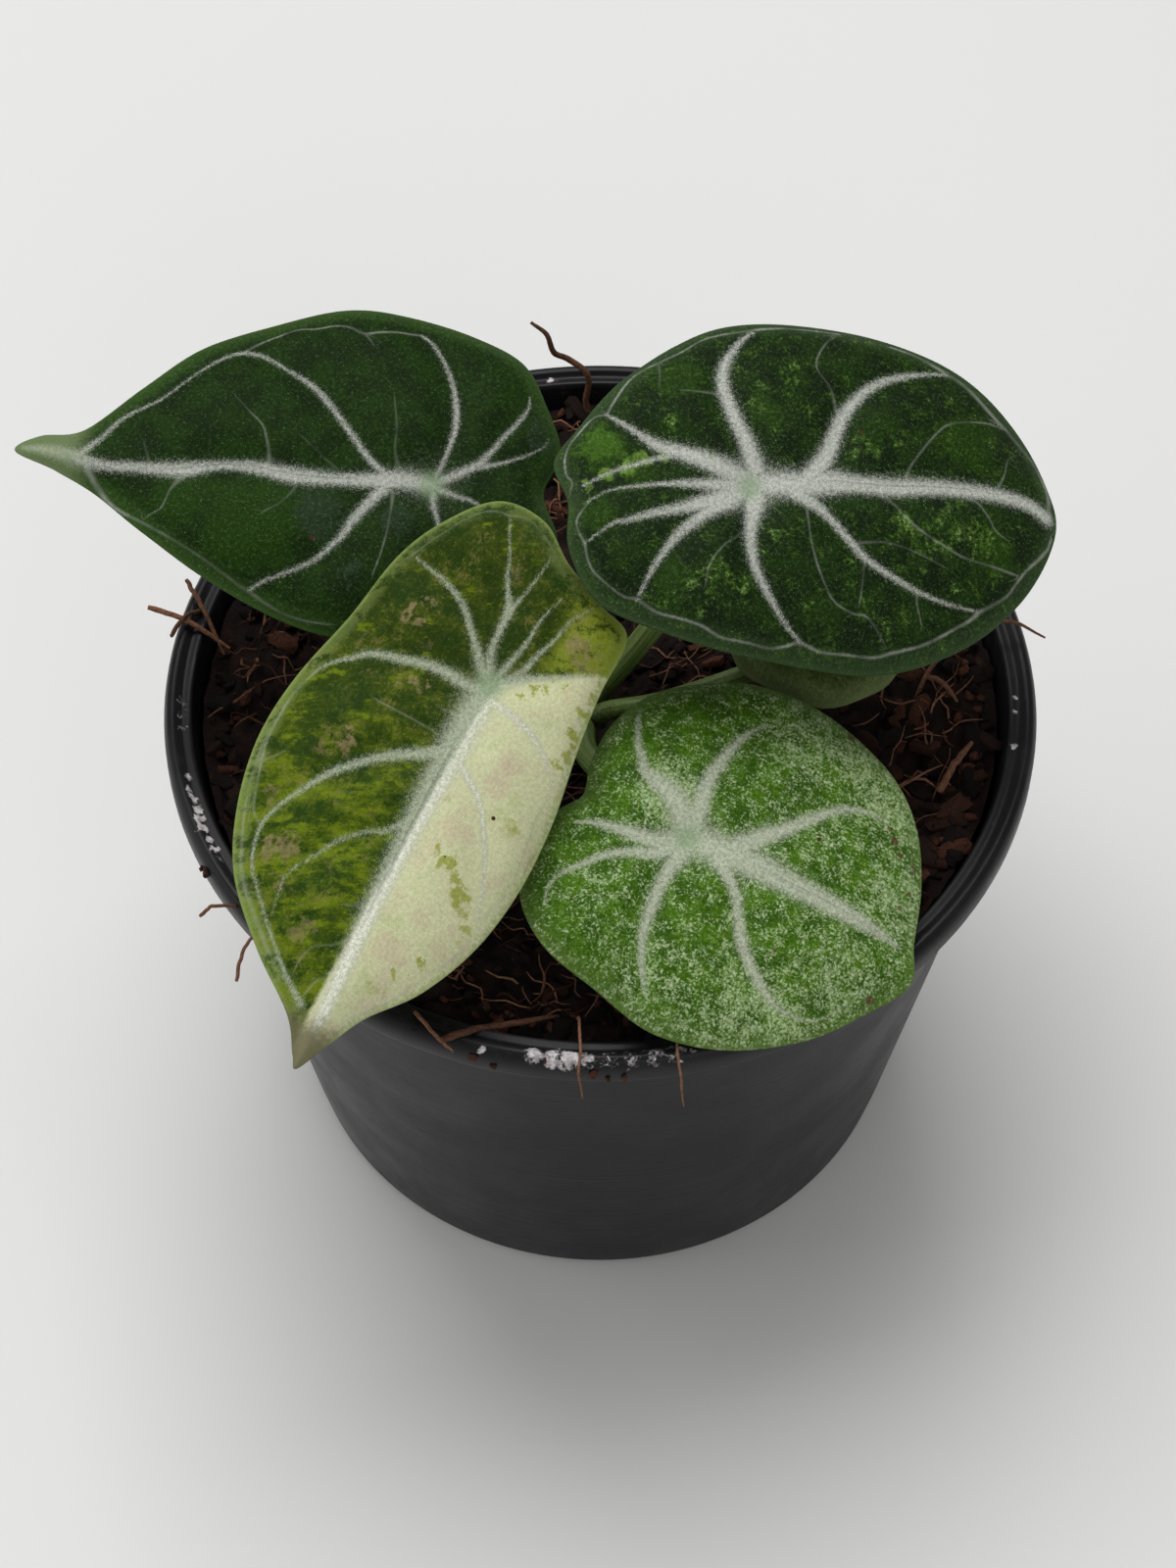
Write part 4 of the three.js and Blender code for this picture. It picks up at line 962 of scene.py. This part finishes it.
# %% Leaves: the form of a blade
BLADE = 0.8
EDGE_RADIUS = 0.22
DIMPLE_DEPTH = 0.9
DIMPLE_RADIUS = 3.2
PILLOW_HEIGHT = 0.9
PILLOW_SPREAD = 2.6
EDGE_ROLL = 1.1
EDGE_WAVE = 0.45
RIB_HEIGHT = 0.45                       # of the veins on the underside
BACK_SHARE = 0.34                       # rings on the underside, to those on top
EDGE_FALL = 2.1                         # how steeply the silver falls off beside a vein
THIN_EDGE = 0.35                        # by how much a blade is thinner at its margin
LINE_REACH = 9.0                        # beyond this, a fine line has no effect


def blade_axes(lie):
    """Directions of u, v and w of a blade, from its heading, pitch and roll."""
    heading, pitch, roll = [math.radians(angle) for angle in lie]
    along = np.array([math.cos(pitch) * math.cos(heading), math.cos(pitch) * math.sin(heading),
                      math.sin(pitch)])
    level = np.array([-math.sin(heading), math.cos(heading), 0])
    across = level * math.cos(roll) + np.cross(along, level) * math.sin(roll)
    return along, across, np.cross(along, across)


def line_distance(u, v, line):
    """Distance of every point to a line, with its side as the sign, and the line's half width there."""
    nearest = np.full(u.shape, 1e9)
    side, width = np.ones(u.shape), np.zeros(u.shape)
    for start, way in zip(line, np.diff(line, axis=0)):
        t = np.clip(((u - start[0]) * way[0] + (v - start[1]) * way[1]) / (way[:2] @ way[:2]), 0, 1)
        off_u, off_v = u - start[0] - t * way[0], v - start[1] - t * way[1]
        away = np.hypot(off_u, off_v)
        closer = away < nearest
        nearest = np.where(closer, away, nearest)
        side = np.where(closer, np.where(way[0] * off_v - way[1] * off_u < 0, -1, 1), side)
        width = np.where(closer, start[-1] + t * way[-1], width)
    return nearest, side, width


def vein_strength(u, v, knots):
    """Highest along the middle of a vein and half of that at its half width. Thin veins are fainter."""
    away, _, width = line_distance(u, v, smooth_line(knots, 6 * len(knots)))
    peak = np.minimum(1, 0.45 + 0.6 * width)
    return peak * np.exp(-math.log(2) * (away / width) ** EDGE_FALL), away


def blade_height(leaf, u, v, s, turn, swelling):
    """Height over the plane of a blade. s is the share of the way out, turn the share of the way round."""
    tip, back, left, right = leaf["fall"]
    to_tip, to_back, to_left, to_right = leaf["reach"]
    along = np.where(u > 0, tip * (u / to_tip) ** 2, back * (u / to_back) ** 2)
    across = np.where(v > 0, left * (v / to_left) ** 2, right * (v / to_right) ** 2)
    dimple = DIMPLE_DEPTH * np.exp(-(u ** 2 + v ** 2) / DIMPLE_RADIUS ** 2)
    pillow = PILLOW_HEIGHT * swelling * (1 - s ** 6)
    wave = EDGE_WAVE * np.sin(14 * math.pi * turn + 1) * s ** 4
    return pillow + wave - along - across - dimple - EDGE_ROLL * s ** 12


def make_blade(name, columns, rings):
    """Lays a closed blade over its measured form and keeps its pattern on its points."""
    leaf = LEAVES[name]
    rim = smooth_line(leaf["outline"], columns, closed=True)
    ahead = np.roll(rim, -1, axis=0) - np.roll(rim, 1, axis=0)
    outward = np.stack([ahead[:, 1], -ahead[:, 0]], axis=1)
    outward /= np.linalg.norm(outward, axis=1)[:, None]
    inset = rim - EDGE_RADIUS * outward
    back_rings = int(rings * BACK_SHARE)
    on_top, on_back = np.zeros(rings + 1), np.ones(back_rings + 1)
    round_edge = np.radians(np.linspace(90, -90, 8)[1:-1])
    share = np.concatenate([np.linspace(0, 1, rings + 1), np.ones(len(round_edge)),
                            np.linspace(1, 0, back_rings + 1)])
    depth = np.concatenate([on_top, 0.5 - 0.5 * np.sin(round_edge), on_back])[:, None]
    bulge = EDGE_RADIUS * np.concatenate([on_top, np.cos(round_edge), 0 * on_back])[:, None]
    wrap = np.append(np.arange(columns), 0)
    s = np.repeat(share[:, None], columns + 1, axis=1)
    turn = np.repeat((wrap / columns)[None], len(share), axis=0)
    u, v = [s * inset[wrap, axis] + bulge * outward[wrap, axis] for axis in (0, 1)]
    margin = line_distance(u, v, np.vstack([rim[::2], rim[:1]]))[0]
    silver, swelling = np.zeros(u.shape), np.ones(u.shape)
    for knots in leaf["veins"]:
        strength, away = vein_strength(u, v, knots)
        silver = np.maximum(silver, strength)
        swelling *= 1 - np.exp(-(away / PILLOW_SPREAD) ** 2)
    nearest = np.full(u.shape, LINE_REACH)
    line, plain = np.zeros(u.shape + (3,)), np.zeros(u.shape)
    for shown, knots in leaf["lines"]:
        away, side, width = line_distance(u, v, smooth_line(knots, 5 * len(knots)))
        closer = away < nearest
        nearest = np.where(closer, away, nearest)
        line = np.where(closer[..., None], np.stack([away * side, away, width], axis=2), line)
        plain = np.where(closer, shown, plain)
    away, side, width = line_distance(u, v, smooth_line(leaf["veins"][0], 60))
    under = (depth > 0.7) * np.ones(u.shape)
    w = blade_height(leaf, u, v, s, turn, swelling) - (BLADE - THIN_EDGE * s ** 5) * depth
    w -= under * (RIB_HEIGHT * silver * (1 - s ** 8))
    along, across, out = blade_axes(leaf["lie"])
    places = (np.array(leaf["joint"]) + u[..., None] * along + v[..., None] * across
              + w[..., None] * out)
    return lay_grid("blade_" + name, places, {
        "blade": np.stack([u, v, 4 * under], axis=2), "silver": silver, "line": line, "plain": plain,
        "margin": margin, "underside": under, "crease": np.stack([away * side, away, width], axis=2)})


print("the form of a blade is ready")

# %% [markdown]
# Under a lens, the upper side of a blade is velvet: tiny domes that scatter light,
# with powdery silver along the veins. So the finish is built in coats. First the
# green with its mottling and grain, then what marks this leaf (`marks`), then fine
# threads, the silver veins with ragged edges, a painted shade in the fold along the
# middle, the tip, and last the pale underside. The blades differ in how they take
# these coats, not in the recipe.

# %% Leaves: the finish of a blade
# Painted shade: the dark tone laid in the groove of the fold along the midrib.
FOLD_SHADE_TONE = (0.10, 0.13, 0.09)
HEART_TONE = (0.17, 0.28, 0.13)         # over the joint
CRUMB_TONE = (0.06, 0.022, 0.014)


def specks(blade, spacing, size, share):
    """Small crumbs of soil dropped here and there: 1 on a crumb and 0 beside it."""
    cells = add_node(blade.tree, "ShaderNodeTexVoronoi", {"Vector": blade, "Scale": 1 / spacing})
    pick = add_node(blade.tree, "ShaderNodeSeparateColor", {0: cells["Color"]})["Red"]
    return maths("LESS_THAN", cells["Distance"], step(pick, 1 - share, 1, 0, size / spacing))


def leaf_finish(name, deep, fresh, silver_tone, edge_tone, under_tone, marks, silver_amount, powder,
                fold_shade_amount, contrast=(0.72, 1.3), right_silver=None, tip_tone=(0, 0, 0),
                tip_start=99, tip_amount=0.0, dusting=1.0):
    material, tree, sockets = start_finish(name)
    blade = vector_of(tree, "blade")
    u, v, _ = parts(blade)
    silver, margin = value_of(tree, "silver"), value_of(tree, "margin")
    from_joint = vector_maths("LENGTH", blade)[1]
    grain = cloud(blade, 2.4, 4, 0.72)
    velvet = cloud(blade, 7.5, 2, 0.6)
    mottle = step(cloud(blade, 0.3, 4, 0.6), 0.38, 0.62)

    colour = over(mottle, deep, fresh)
    # A lighter green band along the margin: partly the blade's own colour, partly a painted highlight on
    # its rolled edge.
    colour = over(step(margin, 0.8, 2.4, 0.45, 0), colour, edge_tone)
    if marks:
        colour = marks(blade, colour)
    colour = shade(colour, step(grain, 0.34, 0.66, *contrast))
    colour = shade(colour, step(velvet, 0.5, 0.68, 0.95, contrast[1] + 0.05))
    # A thin, ragged outline of the same tone at the margin: partly its own colour, partly a painted
    # highlight on the rolled edge.
    colour = over(step(margin + grain * 1.6, 0.8, 1.5, 0.62, 0), colour, edge_tone)

    beside, away, width = parts(vector_of(tree, "line"))
    torn = (grain - 0.5) * 0.55
    line = step((abs(beside) + torn) / width, -0.2, 1.8, 1, 0) * step(away, 0.6, 1.0, 1, 0)
    dim = step(cloud(blade, 0.3, 3), 0.38, 0.62, 0.3 * silver_amount, 0.9 * silver_amount)
    line = line * (value_of(tree, "plain") * dim)
    colour = over(line, colour, silver_tone)

    ragged = silver + (grain - 0.5) * 0.95 + (velvet - 0.5) * 1.4
    haze = step(ragged + step(from_joint, 1.0, 6.0, 0.3, 0), 0.05, 0.7, 0, powder)
    haze = haze * step(silver, 0.0, 0.06, dusting, 1)
    vein = step(ragged, 0.14, 0.98, 0, silver_amount)
    powdery = step(velvet, 0.36, 0.64, 0.80, 1.16) * step(silver, 0.4, 1, 0.86, 1.08)
    powdery = powdery * step(grain, 0.36, 0.64, 0.78, 1.16)
    colour = over(haze, colour, shade(silver_tone, powdery))
    right_half = step(v, 0.2, 1.0) * step(u, -2, 2)
    core = over(right_half, silver_tone, right_silver or silver_tone)
    colour = over(vein, colour, shade(core, powdery))

    # The fold along the midrib: a groove in the bump, and painted shade in its colour.
    beside_rib, from_rib, _ = parts(vector_of(tree, "crease"))
    fold = step(abs(beside_rib) + torn * 0.65, 0.02, 0.3, 1, 0) * step(from_rib, 0.6, 1.0, 1, 0)
    fold = fold * step(u, 5, 12) * step(u, 22, 33, 1, 0.1)
    colour = over(fold * fold_shade_amount, colour, FOLD_SHADE_TONE)
    colour = over(step(from_joint + grain * 1.5, 1.2, 3.0, 0.55, 0), colour, HEART_TONE)
    towards_tip = u + cloud(blade, 1.4, 4, 0.7) * 3
    at_tip = step(towards_tip, tip_start + 1, tip_start + 4.5, 0, tip_amount)
    colour = over(at_tip, colour, tip_tone)
    colour = over(specks(blade, 6.5, 0.3, 0.3), colour, CRUMB_TONE)

    below = over(mottle, under_tone, [0.78 * channel for channel in under_tone])
    below = shade(below, step(grain, 0.3, 0.7, 0.85, 1.12))
    below = over(step(silver, 0.15, 0.8, 0, 0.55), below, edge_tone)
    colour = over(value_of(tree, "underside"), colour, below)
    feed(sockets, colour, step(grain, 0.3, 0.7, 0.5, 0.64) + vein * 0.1, 0.06,
         grain * 0.6 + velvet * 0.35 - line * 0.5 - fold * 0.8, 0.13)
    return material


print("the recipe for a blade is ready")

# %% [markdown]
# What marks each leaf: drifts of fresher green on the left one, green-gold flecks in
# drifts on the big right one, a fine white mist on the front right one, and on the
# front left one the variegation, cream on one half and olive patches on the other.
# Where such a drift or patch sits on the real blade is kept as a spot: u, v, reach and
# strength, in millimetres. Noise gives it its torn outline.

# %% Leaves: flecks, mist and variegation
def drift_in(blade, colour, spots, tone, amount, bend=1.2, low=1.15, high=1.75):
    """Lays a tone over the spots, with borders bent and torn by noise."""
    mask = patches(blade, spots, bend) + cloud(blade, 1.1, 6, 0.75) * 1.6
    return over(step(mask, low, high, 0, amount), colour, tone)


def fresh_drifts(blade, colour):
    """The left leaf: drifts of fresher green, and of a greyer green by the joint."""
    colour = drift_in(blade, colour, [(19, 6, 8, 1), (27, 3, 5, 1), (-6, -12, 5, 0.6)],
                      (0.0115, 0.038, 0.001), 0.75, 1.6)
    return drift_in(blade, colour, [
        (11.6, 5, 4.4, 1), (-11.4, -6.6, 2.8, 1), (3.4, 4.6, 3.4, 0.9), (8.2, 10.4, 1.8, 1),
        (-3, -0.8, 2.4, 0.7)], (0.022, 0.040, 0.019), 0.7, 1.6, 1.2, 2.0)


def gold_flecks(blade, colour):
    """The right leaf: fresh green round its left edge, and fine flecks of pale gold in drifts."""
    colour = drift_in(blade, colour, [
        (-15.8, 3.6, 4.2, 1), (-12, 0.6, 2.6, 1), (-16, -4, 3, 0.9), (25, 8, 6, 0.8), (-8, 12, 4.4, 0.8),
        (1.6, 8, 3.4, 0.8), (8, -14, 4.4, 0.6), (14, 8, 4, 0.7), (-8, -11, 4, 0.7), (28, -4, 5, 0.8)],
        (0.017, 0.048, 0.002), 0.75)
    colour = drift_in(blade, colour, [(-16, 3.8, 3, 1), (-13, 1.4, 1.6, 1)],
                      (0.045, 0.112, 0.008), 0.8)
    drift = patches(blade, [
        (-3.6, -10.4, 2.2, 1), (17.6, -2.8, 3.2, 1), (21, -5.6, 1.8, 1), (23.4, -1.6, 3.2, 0.9),
        (27, -3.4, 3.2, 0.9), (0.8, 10, 1.8, 0.9), (2.6, -5.6, 1.6, 0.9), (12.4, 6.2, 2, 0.9),
        (-8.6, 6.8, 1.6, 0.8), (4, 13.6, 2.4, 0.7), (0, -11.4, 1, 1), (8.6, -16.2, 1.2, 0.8),
        (-5.4, -12.4, 1.6, 0.8), (25.4, -8, 2, 0.7), (16, -13, 2, 0.5)], 2.0)
    fleck = drift * 0.16 + cloud(blade, 0.5, 4, 0.7) + cloud(blade, 2.2, 4, 0.78)
    colour = over(step(fleck, 1.06, 1.2, 0, 0.65), colour, (0.045, 0.10, 0.010))
    colour = over(step(fleck, 1.2, 1.36, 0, 0.7), colour, (0.22, 0.32, 0.10))
    return drift_in(blade, colour, [
        (-9.4, 2.7, 1.1, 1), (-11.4, 2.0, 1.1, 1), (-13.4, 1.3, 1.1, 1), (-15.4, 0.5, 1.1, 1),
        (-17.4, -0.6, 1.0, 0.9)], (0.15, 0.26, 0.04), 0.6, 0.8)


def pale_mist(blade, colour):
    """The front right leaf: a mist of white dots in clusters, thickest in a few places."""
    grain = cloud(blade, 2.4, 4, 0.72)
    thick = patches(blade, [
        (-4, 3.4, 4.6, 1.6), (16, -14, 8, 0.8), (24, 7, 6, 0.7), (22, -5, 5, 0.6), (6, 17, 6, 0.8),
        (10, -14, 5, 0.3), (12, 8, 4, 0.3), (18, 17, 6, 0.9), (13, 19, 5, 0.9), (-6, -10, 5, 0.35),
        (4, -16, 6, 0.5)], 1.6)
    gain = thick * 0.11 + parts(blade)[0] * 0.0012 + value_of(blade.tree, "silver") * 0.10
    dots = cloud(blade, 3.6, 3, 0.75) + cloud(blade, 0.7, 5, 0.78) * 0.9
    tone = over(step(grain, 0.4, 0.6), (0.21, 0.33, 0.10), (0.40, 0.48, 0.29))
    colour = over(step(dots + gain, 0.97, 1.09) * 0.82, colour, tone)
    return drift_in(blade, colour, [
        (20, 12.5, 0.55, 1), (21.4, 11.3, 0.45, 1), (23.4, 11.4, 0.45, 1), (24.2, 8.4, 0.4, 1),
        (22.5, 2.7, 0.4, 1), (23, 1.5, 0.36, 1), (24, 6, 0.36, 1), (10.8, -8, 0.42, 1),
        (14, -6.2, 0.3, 1), (25.8, -4.6, 0.6, 1), (10.6, 21.5, 0.6, 1), (19, 13.5, 0.35, 1),
        (-5.6, 3, 0.3, 1)], (0.085, 0.04, 0.02), 0.8, 0.3, 1.0, 1.4)


def variegation(blade, colour):
    """The front left leaf: olive, lime and beige on one half, cream on the other."""
    u, v, _ = parts(blade)
    broad = cloud(drawn_out(blade, (6, 2.6, 4), math.radians(-62)), 1.0, 4, 0.65)
    fine = cloud(drawn_out(blade, (1.8, 0.9, 2), math.radians(-62)), 1.0, 6, 0.78)
    torn = cloud(blade, 0.9, 5, 0.75)
    wobble = (torn - 0.5) * 2.6
    colour = shade(colour, step(u, -4, 26, 0.7, 1.25))
    colour = over(step(v + wobble, 2.6, 6, 0, 0.75), colour, (0.25, 0.31, 0.025))
    lit = broad * 0.7 + fine * 0.55 + step(u, -2, 24, -0.065, 0.014)
    colour = over(step(lit, 0.61, 0.74, 0, 0.85), colour, (0.135, 0.19, 0.003))
    dim = broad * 0.7 + torn * 0.5
    colour = over(step(dim, 0.6, 0.49, 0, 0.85), colour, (0.012, 0.036, 0.0008))
    dusty = cloud(blade, 1.8, 5, 0.78) + cloud(blade, 0.3, 2) * 0.6
    colour = over(step(dusty, 0.84, 1.0, 0, 0.5), colour, (0.19, 0.16, 0.045))
    colour = drift_in(blade, colour, [
        (8.9, -12.5, 2.9, 1), (15.8, -13.6, 2.2, 1), (-5.4, -13.6, 2.6, 0.9), (8, -7, 2, 0.6),
        (24, -9.4, 2.2, 0.5), (-16, -3.4, 2.4, 0.9), (11, -2.6, 2.2, 0.8), (5, -3.4, 2.4, 0.7)],
        (0.014, 0.038, 0.004), 0.8, 1.8, 1.2, 2.0)
    colour = drift_in(blade, colour, [
        (3.7, -6.9, 1.4, 1), (3.9, -8.3, 1.2, 1), (-2.4, -10.8, 1.6, 1), (-4.8, -9.4, 1.2, 0.9),
        (12.8, -10, 1.7, 1), (14.8, -12.4, 1.3, 0.7), (21.4, -14.7, 1.5, 0.8), (26, -10.7, 2.1, 1),
        (25.2, -4.8, 1.4, 0.7), (32.6, -4, 1.7, 0.8), (29.5, -8.6, 1.7, 0.8), (-0.4, -8, 1.2, 0.6),
        (5.6, -11.4, 1.2, 0.6), (18.6, -7.6, 1.2, 0.6), (-8, 6.8, 2.6, 1), (-11, 5, 1.6, 0.7),
        (1.6, -14.8, 1.4, 0.6), (-12, -3, 1.8, 0.7)], (0.26, 0.20, 0.10), 0.7, 2.0, 1.2, 2.0)

    cream = over(step(cloud(blade, 0.26, 4, 0.65), 0.5, 0.66, 0, 0.6),
                 (0.56, 0.58, 0.345), (0.52, 0.45, 0.31))
    cream = over(step(cloud(blade, 0.19, 5, 0.7), 0.52, 0.64, 0, 0.5), cream, (0.41, 0.46, 0.20))
    cream = drift_in(blade, cream, [
        (6.6, 6.2, 2.2, 1), (9.6, 6, 1.8, 1), (15.6, 4.6, 2.4, 1), (30, 4.6, 2.6, 1), (25.6, 6, 2, 0.8),
        (-3, 8, 1.5, 0.7), (18.4, 3.4, 1.8, 0.8)], (0.50, 0.38, 0.28), 0.4)
    cream = drift_in(blade, cream, [
        (18.4, 4.0, 0.8, 0.8), (19.4, 5.6, 1.1, 1), (20.4, 7.2, 1.2, 1), (21.8, 8.4, 1.3, 1),
        (22.8, 9.4, 0.9, 0.8), (24.2, 10.3, 1.0, 0.8), (25.8, 9.8, 0.9, 0.6), (32, 6.6, 1.1, 0.9),
        (29.8, 7.8, 0.9, 0.8), (12.4, 9.4, 1.6, 0.6), (13.4, 2.7, 1.2, 0.5), (34.6, 5.2, 1, 0.6),
        (-0.4, 3.5, 0.6, 1), (-1.4, 4.6, 0.8, 1), (-2.4, 5.7, 0.8, 1), (-3.6, 6.7, 0.8, 1),
        (-6.6, 9.5, 1, 0.8), (-4.6, 9.8, 1, 0.9), (-2.4, 10.1, 1.1, 1), (-0.2, 10.2, 1.1, 1),
        (2, 10.3, 1.1, 1), (4, 10.5, 0.8, 1)], (0.27, 0.30, 0.03), 0.85, 1.2, 1.1, 1.8)
    slant = u + v * 0.74 + wobble * 0.6
    cream_half = step(v + wobble * 0.3, 0.3, 0.9) * step(slant, -0.4, 0.4)
    return over(cream_half, colour, cream)


print("marks: drifts, flecks, mist, variegation")

# %% Leaves: lay the five blades and finish them
SILVER = (0.42, 0.435, 0.385)
finishes = {
    "left": leaf_finish(
        "dark_leaf_fresh", (0.0050, 0.0165, 0.0008), (0.0088, 0.0285, 0.0012), SILVER,
        (0.04, 0.09, 0.016), (0.12, 0.17, 0.07), fresh_drifts, silver_amount=0.86, powder=0.3,
        fold_shade_amount=0.1, tip_tone=(0.19, 0.25, 0.115), tip_start=37.0, tip_amount=0.62, dusting=0.55),
    "right": leaf_finish(
        "dark_leaf_blue", (0.0050, 0.0140, 0.0022), (0.0092, 0.0270, 0.0021), SILVER,
        (0.04, 0.075, 0.026), (0.12, 0.17, 0.08), gold_flecks, silver_amount=1.0, powder=0.36,
        fold_shade_amount=0.06, dusting=0.5),
    "front_left": leaf_finish(
        "variegated_leaf", (0.026, 0.050, 0.0013), (0.052, 0.086, 0.002), (0.37, 0.41, 0.30),
        (0.24, 0.32, 0.09), (0.33, 0.37, 0.16), variegation, silver_amount=0.78, powder=0.42,
        fold_shade_amount=0.3, contrast=(0.88, 1.1), right_silver=(0.66, 0.67, 0.58),
        tip_tone=(0.125, 0.112, 0.06), tip_start=39.2, tip_amount=0.88, dusting=0.3),
    "front_right": leaf_finish(
        "misted_leaf", (0.028, 0.080, 0.002), (0.056, 0.140, 0.003), (0.42, 0.45, 0.35),
        (0.09, 0.16, 0.03), (0.20, 0.26, 0.11), pale_mist, silver_amount=0.74, powder=0.5,
        fold_shade_amount=0.08, dusting=0.2),
    "small": leaf_finish(
        "young_leaf", (0.034, 0.055, 0.011), (0.060, 0.085, 0.020), (0.24, 0.28, 0.17),
        (0.14, 0.18, 0.07), (0.13, 0.17, 0.06), None, silver_amount=0.35, powder=0.15,
        fold_shade_amount=0.05),
}
BLADES = {                              # columns, rings and material slot
    "left": (400, 118, "leaf_dark"), "right": (400, 118, "leaf_dark"),
    "front_left": (400, 118, "leaf_variegated"), "front_right": (380, 110, "leaf_mid"),
    "small": (220, 60, "leaf_pale")}
for name, (columns, rings, slot) in BLADES.items():
    blade = make_blade(name, columns, rings)
    blade.data.materials.append(finishes[name])
    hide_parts("leaf_" + name)
    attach(blade, "root")
    print(blade.name, "has", len(blade.data.polygons), "faces")

# %% [markdown]
# ## Crown and stalks
#
# The leaves spring from a short crown, half sunk in the soil and ringed by the scars
# of older leaves. Each stalk is a slim rod that swells where it sheathes the crown
# and again where it meets its blade. A tube laid along a smooth path gives both: the
# radius simply changes on the way.

# %% Crown
CROWN_LOW = 54.0
CROWN_TOP = 69.0
CROWN_COLUMNS = 48
SCAR_DEPTH = 0.14
crown_profile = smooth_line([(0.4, CROWN_LOW), (3.4, 54.2), (5, 56.5), (5.6, 61), (5.3, 66),
                             (4.9, 67.4), (3.8, 68.6), (1.6, 68.95), (0.2, CROWN_TOP)], 60)
scars = SCAR_DEPTH * np.sin(crown_profile[:, 1] * 3.4) * (crown_profile[:, 0] > 3)
crown_profile[:, 0] += scars
crown_profile = np.vstack([[(0, CROWN_LOW)], crown_profile, [(0, CROWN_TOP)]])
crown = lay_grid("crown_stem", np.array([ring(radius, height, CROWN_COLUMNS, CROWN_PLACE)
                                         for radius, height in crown_profile]))
print("crown:", len(crown.data.polygons), "faces")

# %% Stalks
STALKS = {                              # where it leaves the crown, in degrees, and two points on its way
    "left": (160, [(-10.4, 0.2, 79), (-15.8, 3.2, 92)]),
    "right": (30, [(4.1, 0.8, 76), (12, 2, 91)]),
    "front_left": (235, [(-8.4, -9.2, 78), (-11.2, -15.2, 87)]),
    "front_right": (290, [(-1.2, -12.2, 72.4), (4.6, -21.4, 76)]),
    "small": (340, [(7.4, -3.8, 72), (18.6, -0.8, 74.6)]),
}
STALK_STEPS = 80
STALK_SIDES = 24


def stalk_path(name):
    """From inside the crown, round through measured points, to the underside of the blade."""
    foot, via = STALKS[name]
    angle = math.radians(foot)
    on_crown = [(CROWN_PLACE[0] + reach * math.cos(angle), CROWN_PLACE[1] + reach * math.sin(angle), height)
                for reach, height in ((2.9, 66), (4.3, 70))]
    out = blade_axes(LEAVES[name]["lie"])[2]
    below, joint = [tuple(np.array(LEAVES[name]["joint"]) - reach * out) for reach in (3.4, 1.5)]
    return smooth_line(on_crown + via + [below, joint], STALK_STEPS)


stalks = {}
for name in STALKS:
    radii = np.interp(np.linspace(0, 1, STALK_STEPS), [0, 0.08, 0.2, 0.92, 0.975, 1],
                      [1.5, 1.75, 1.45, 1.2, 1.3, 1.6])
    small = 0.8 if name == "small" else 1.0
    stalks[name] = lay_grid("stalk_of_" + name, tube_places(stalk_path(name), small * radii, STALK_SIDES))
print("stalks:", {name: len(stalk.data.polygons) for name, stalk in stalks.items()})

# %% [markdown]
# The stalks are pale green and faintly striped along their length, with small red
# brown dashes, and soiled where they leave the soil. Their UV map runs once round and
# once along, so a noise that is stretched along it gives the stripes.

# %% Crown and stalks: finish
def stalk_green(name, pale, deep, stripe_length):
    material, tree, sockets = start_finish(name)
    wrap = add_node(tree, "ShaderNodeUVMap", {}, uv_map="UVMap")["UV"]
    place = object_place(tree)
    stripes = cloud(drawn_out(wrap, (0.14, stripe_length, 1)), 2.2, 3, 0.6)
    grain = cloud(place, 3.0, 3)
    dashes = cloud(drawn_out(wrap, (0.11, 0.07, 1)), 1.6, 2)
    colour = over(step(stripes, 0.36, 0.64), deep, pale)
    colour = over(step(dashes, 0.6, 0.68, 0, 0.5), colour, (0.12, 0.07, 0.03))
    soiled = step(parts(place)[2] + grain * 6, 70, 76, 0.8, 0)
    colour = over(soiled, colour, (0.035, 0.022, 0.012))
    colour = shade(colour, step(grain, 0.3, 0.7, 0.85, 1.12))
    feed(sockets, colour, step(grain, 0.3, 0.7, 0.36, 0.5), 0.4, stripes + grain * 0.3, 0.12)
    return material


stalk_finish = stalk_green("pale_stalk", (0.20, 0.29, 0.075), (0.10, 0.17, 0.035), 0.66)
for name, stalk in stalks.items():
    stalk.data.materials.append(stalk_finish)
    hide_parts("stalk_" + name)
    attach(stalk, "root")
crown.data.materials.append(stalk_green("crown_bark", (0.10, 0.12, 0.035), (0.045, 0.035, 0.015), 0.11))
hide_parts("crown")
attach(crown, "root")
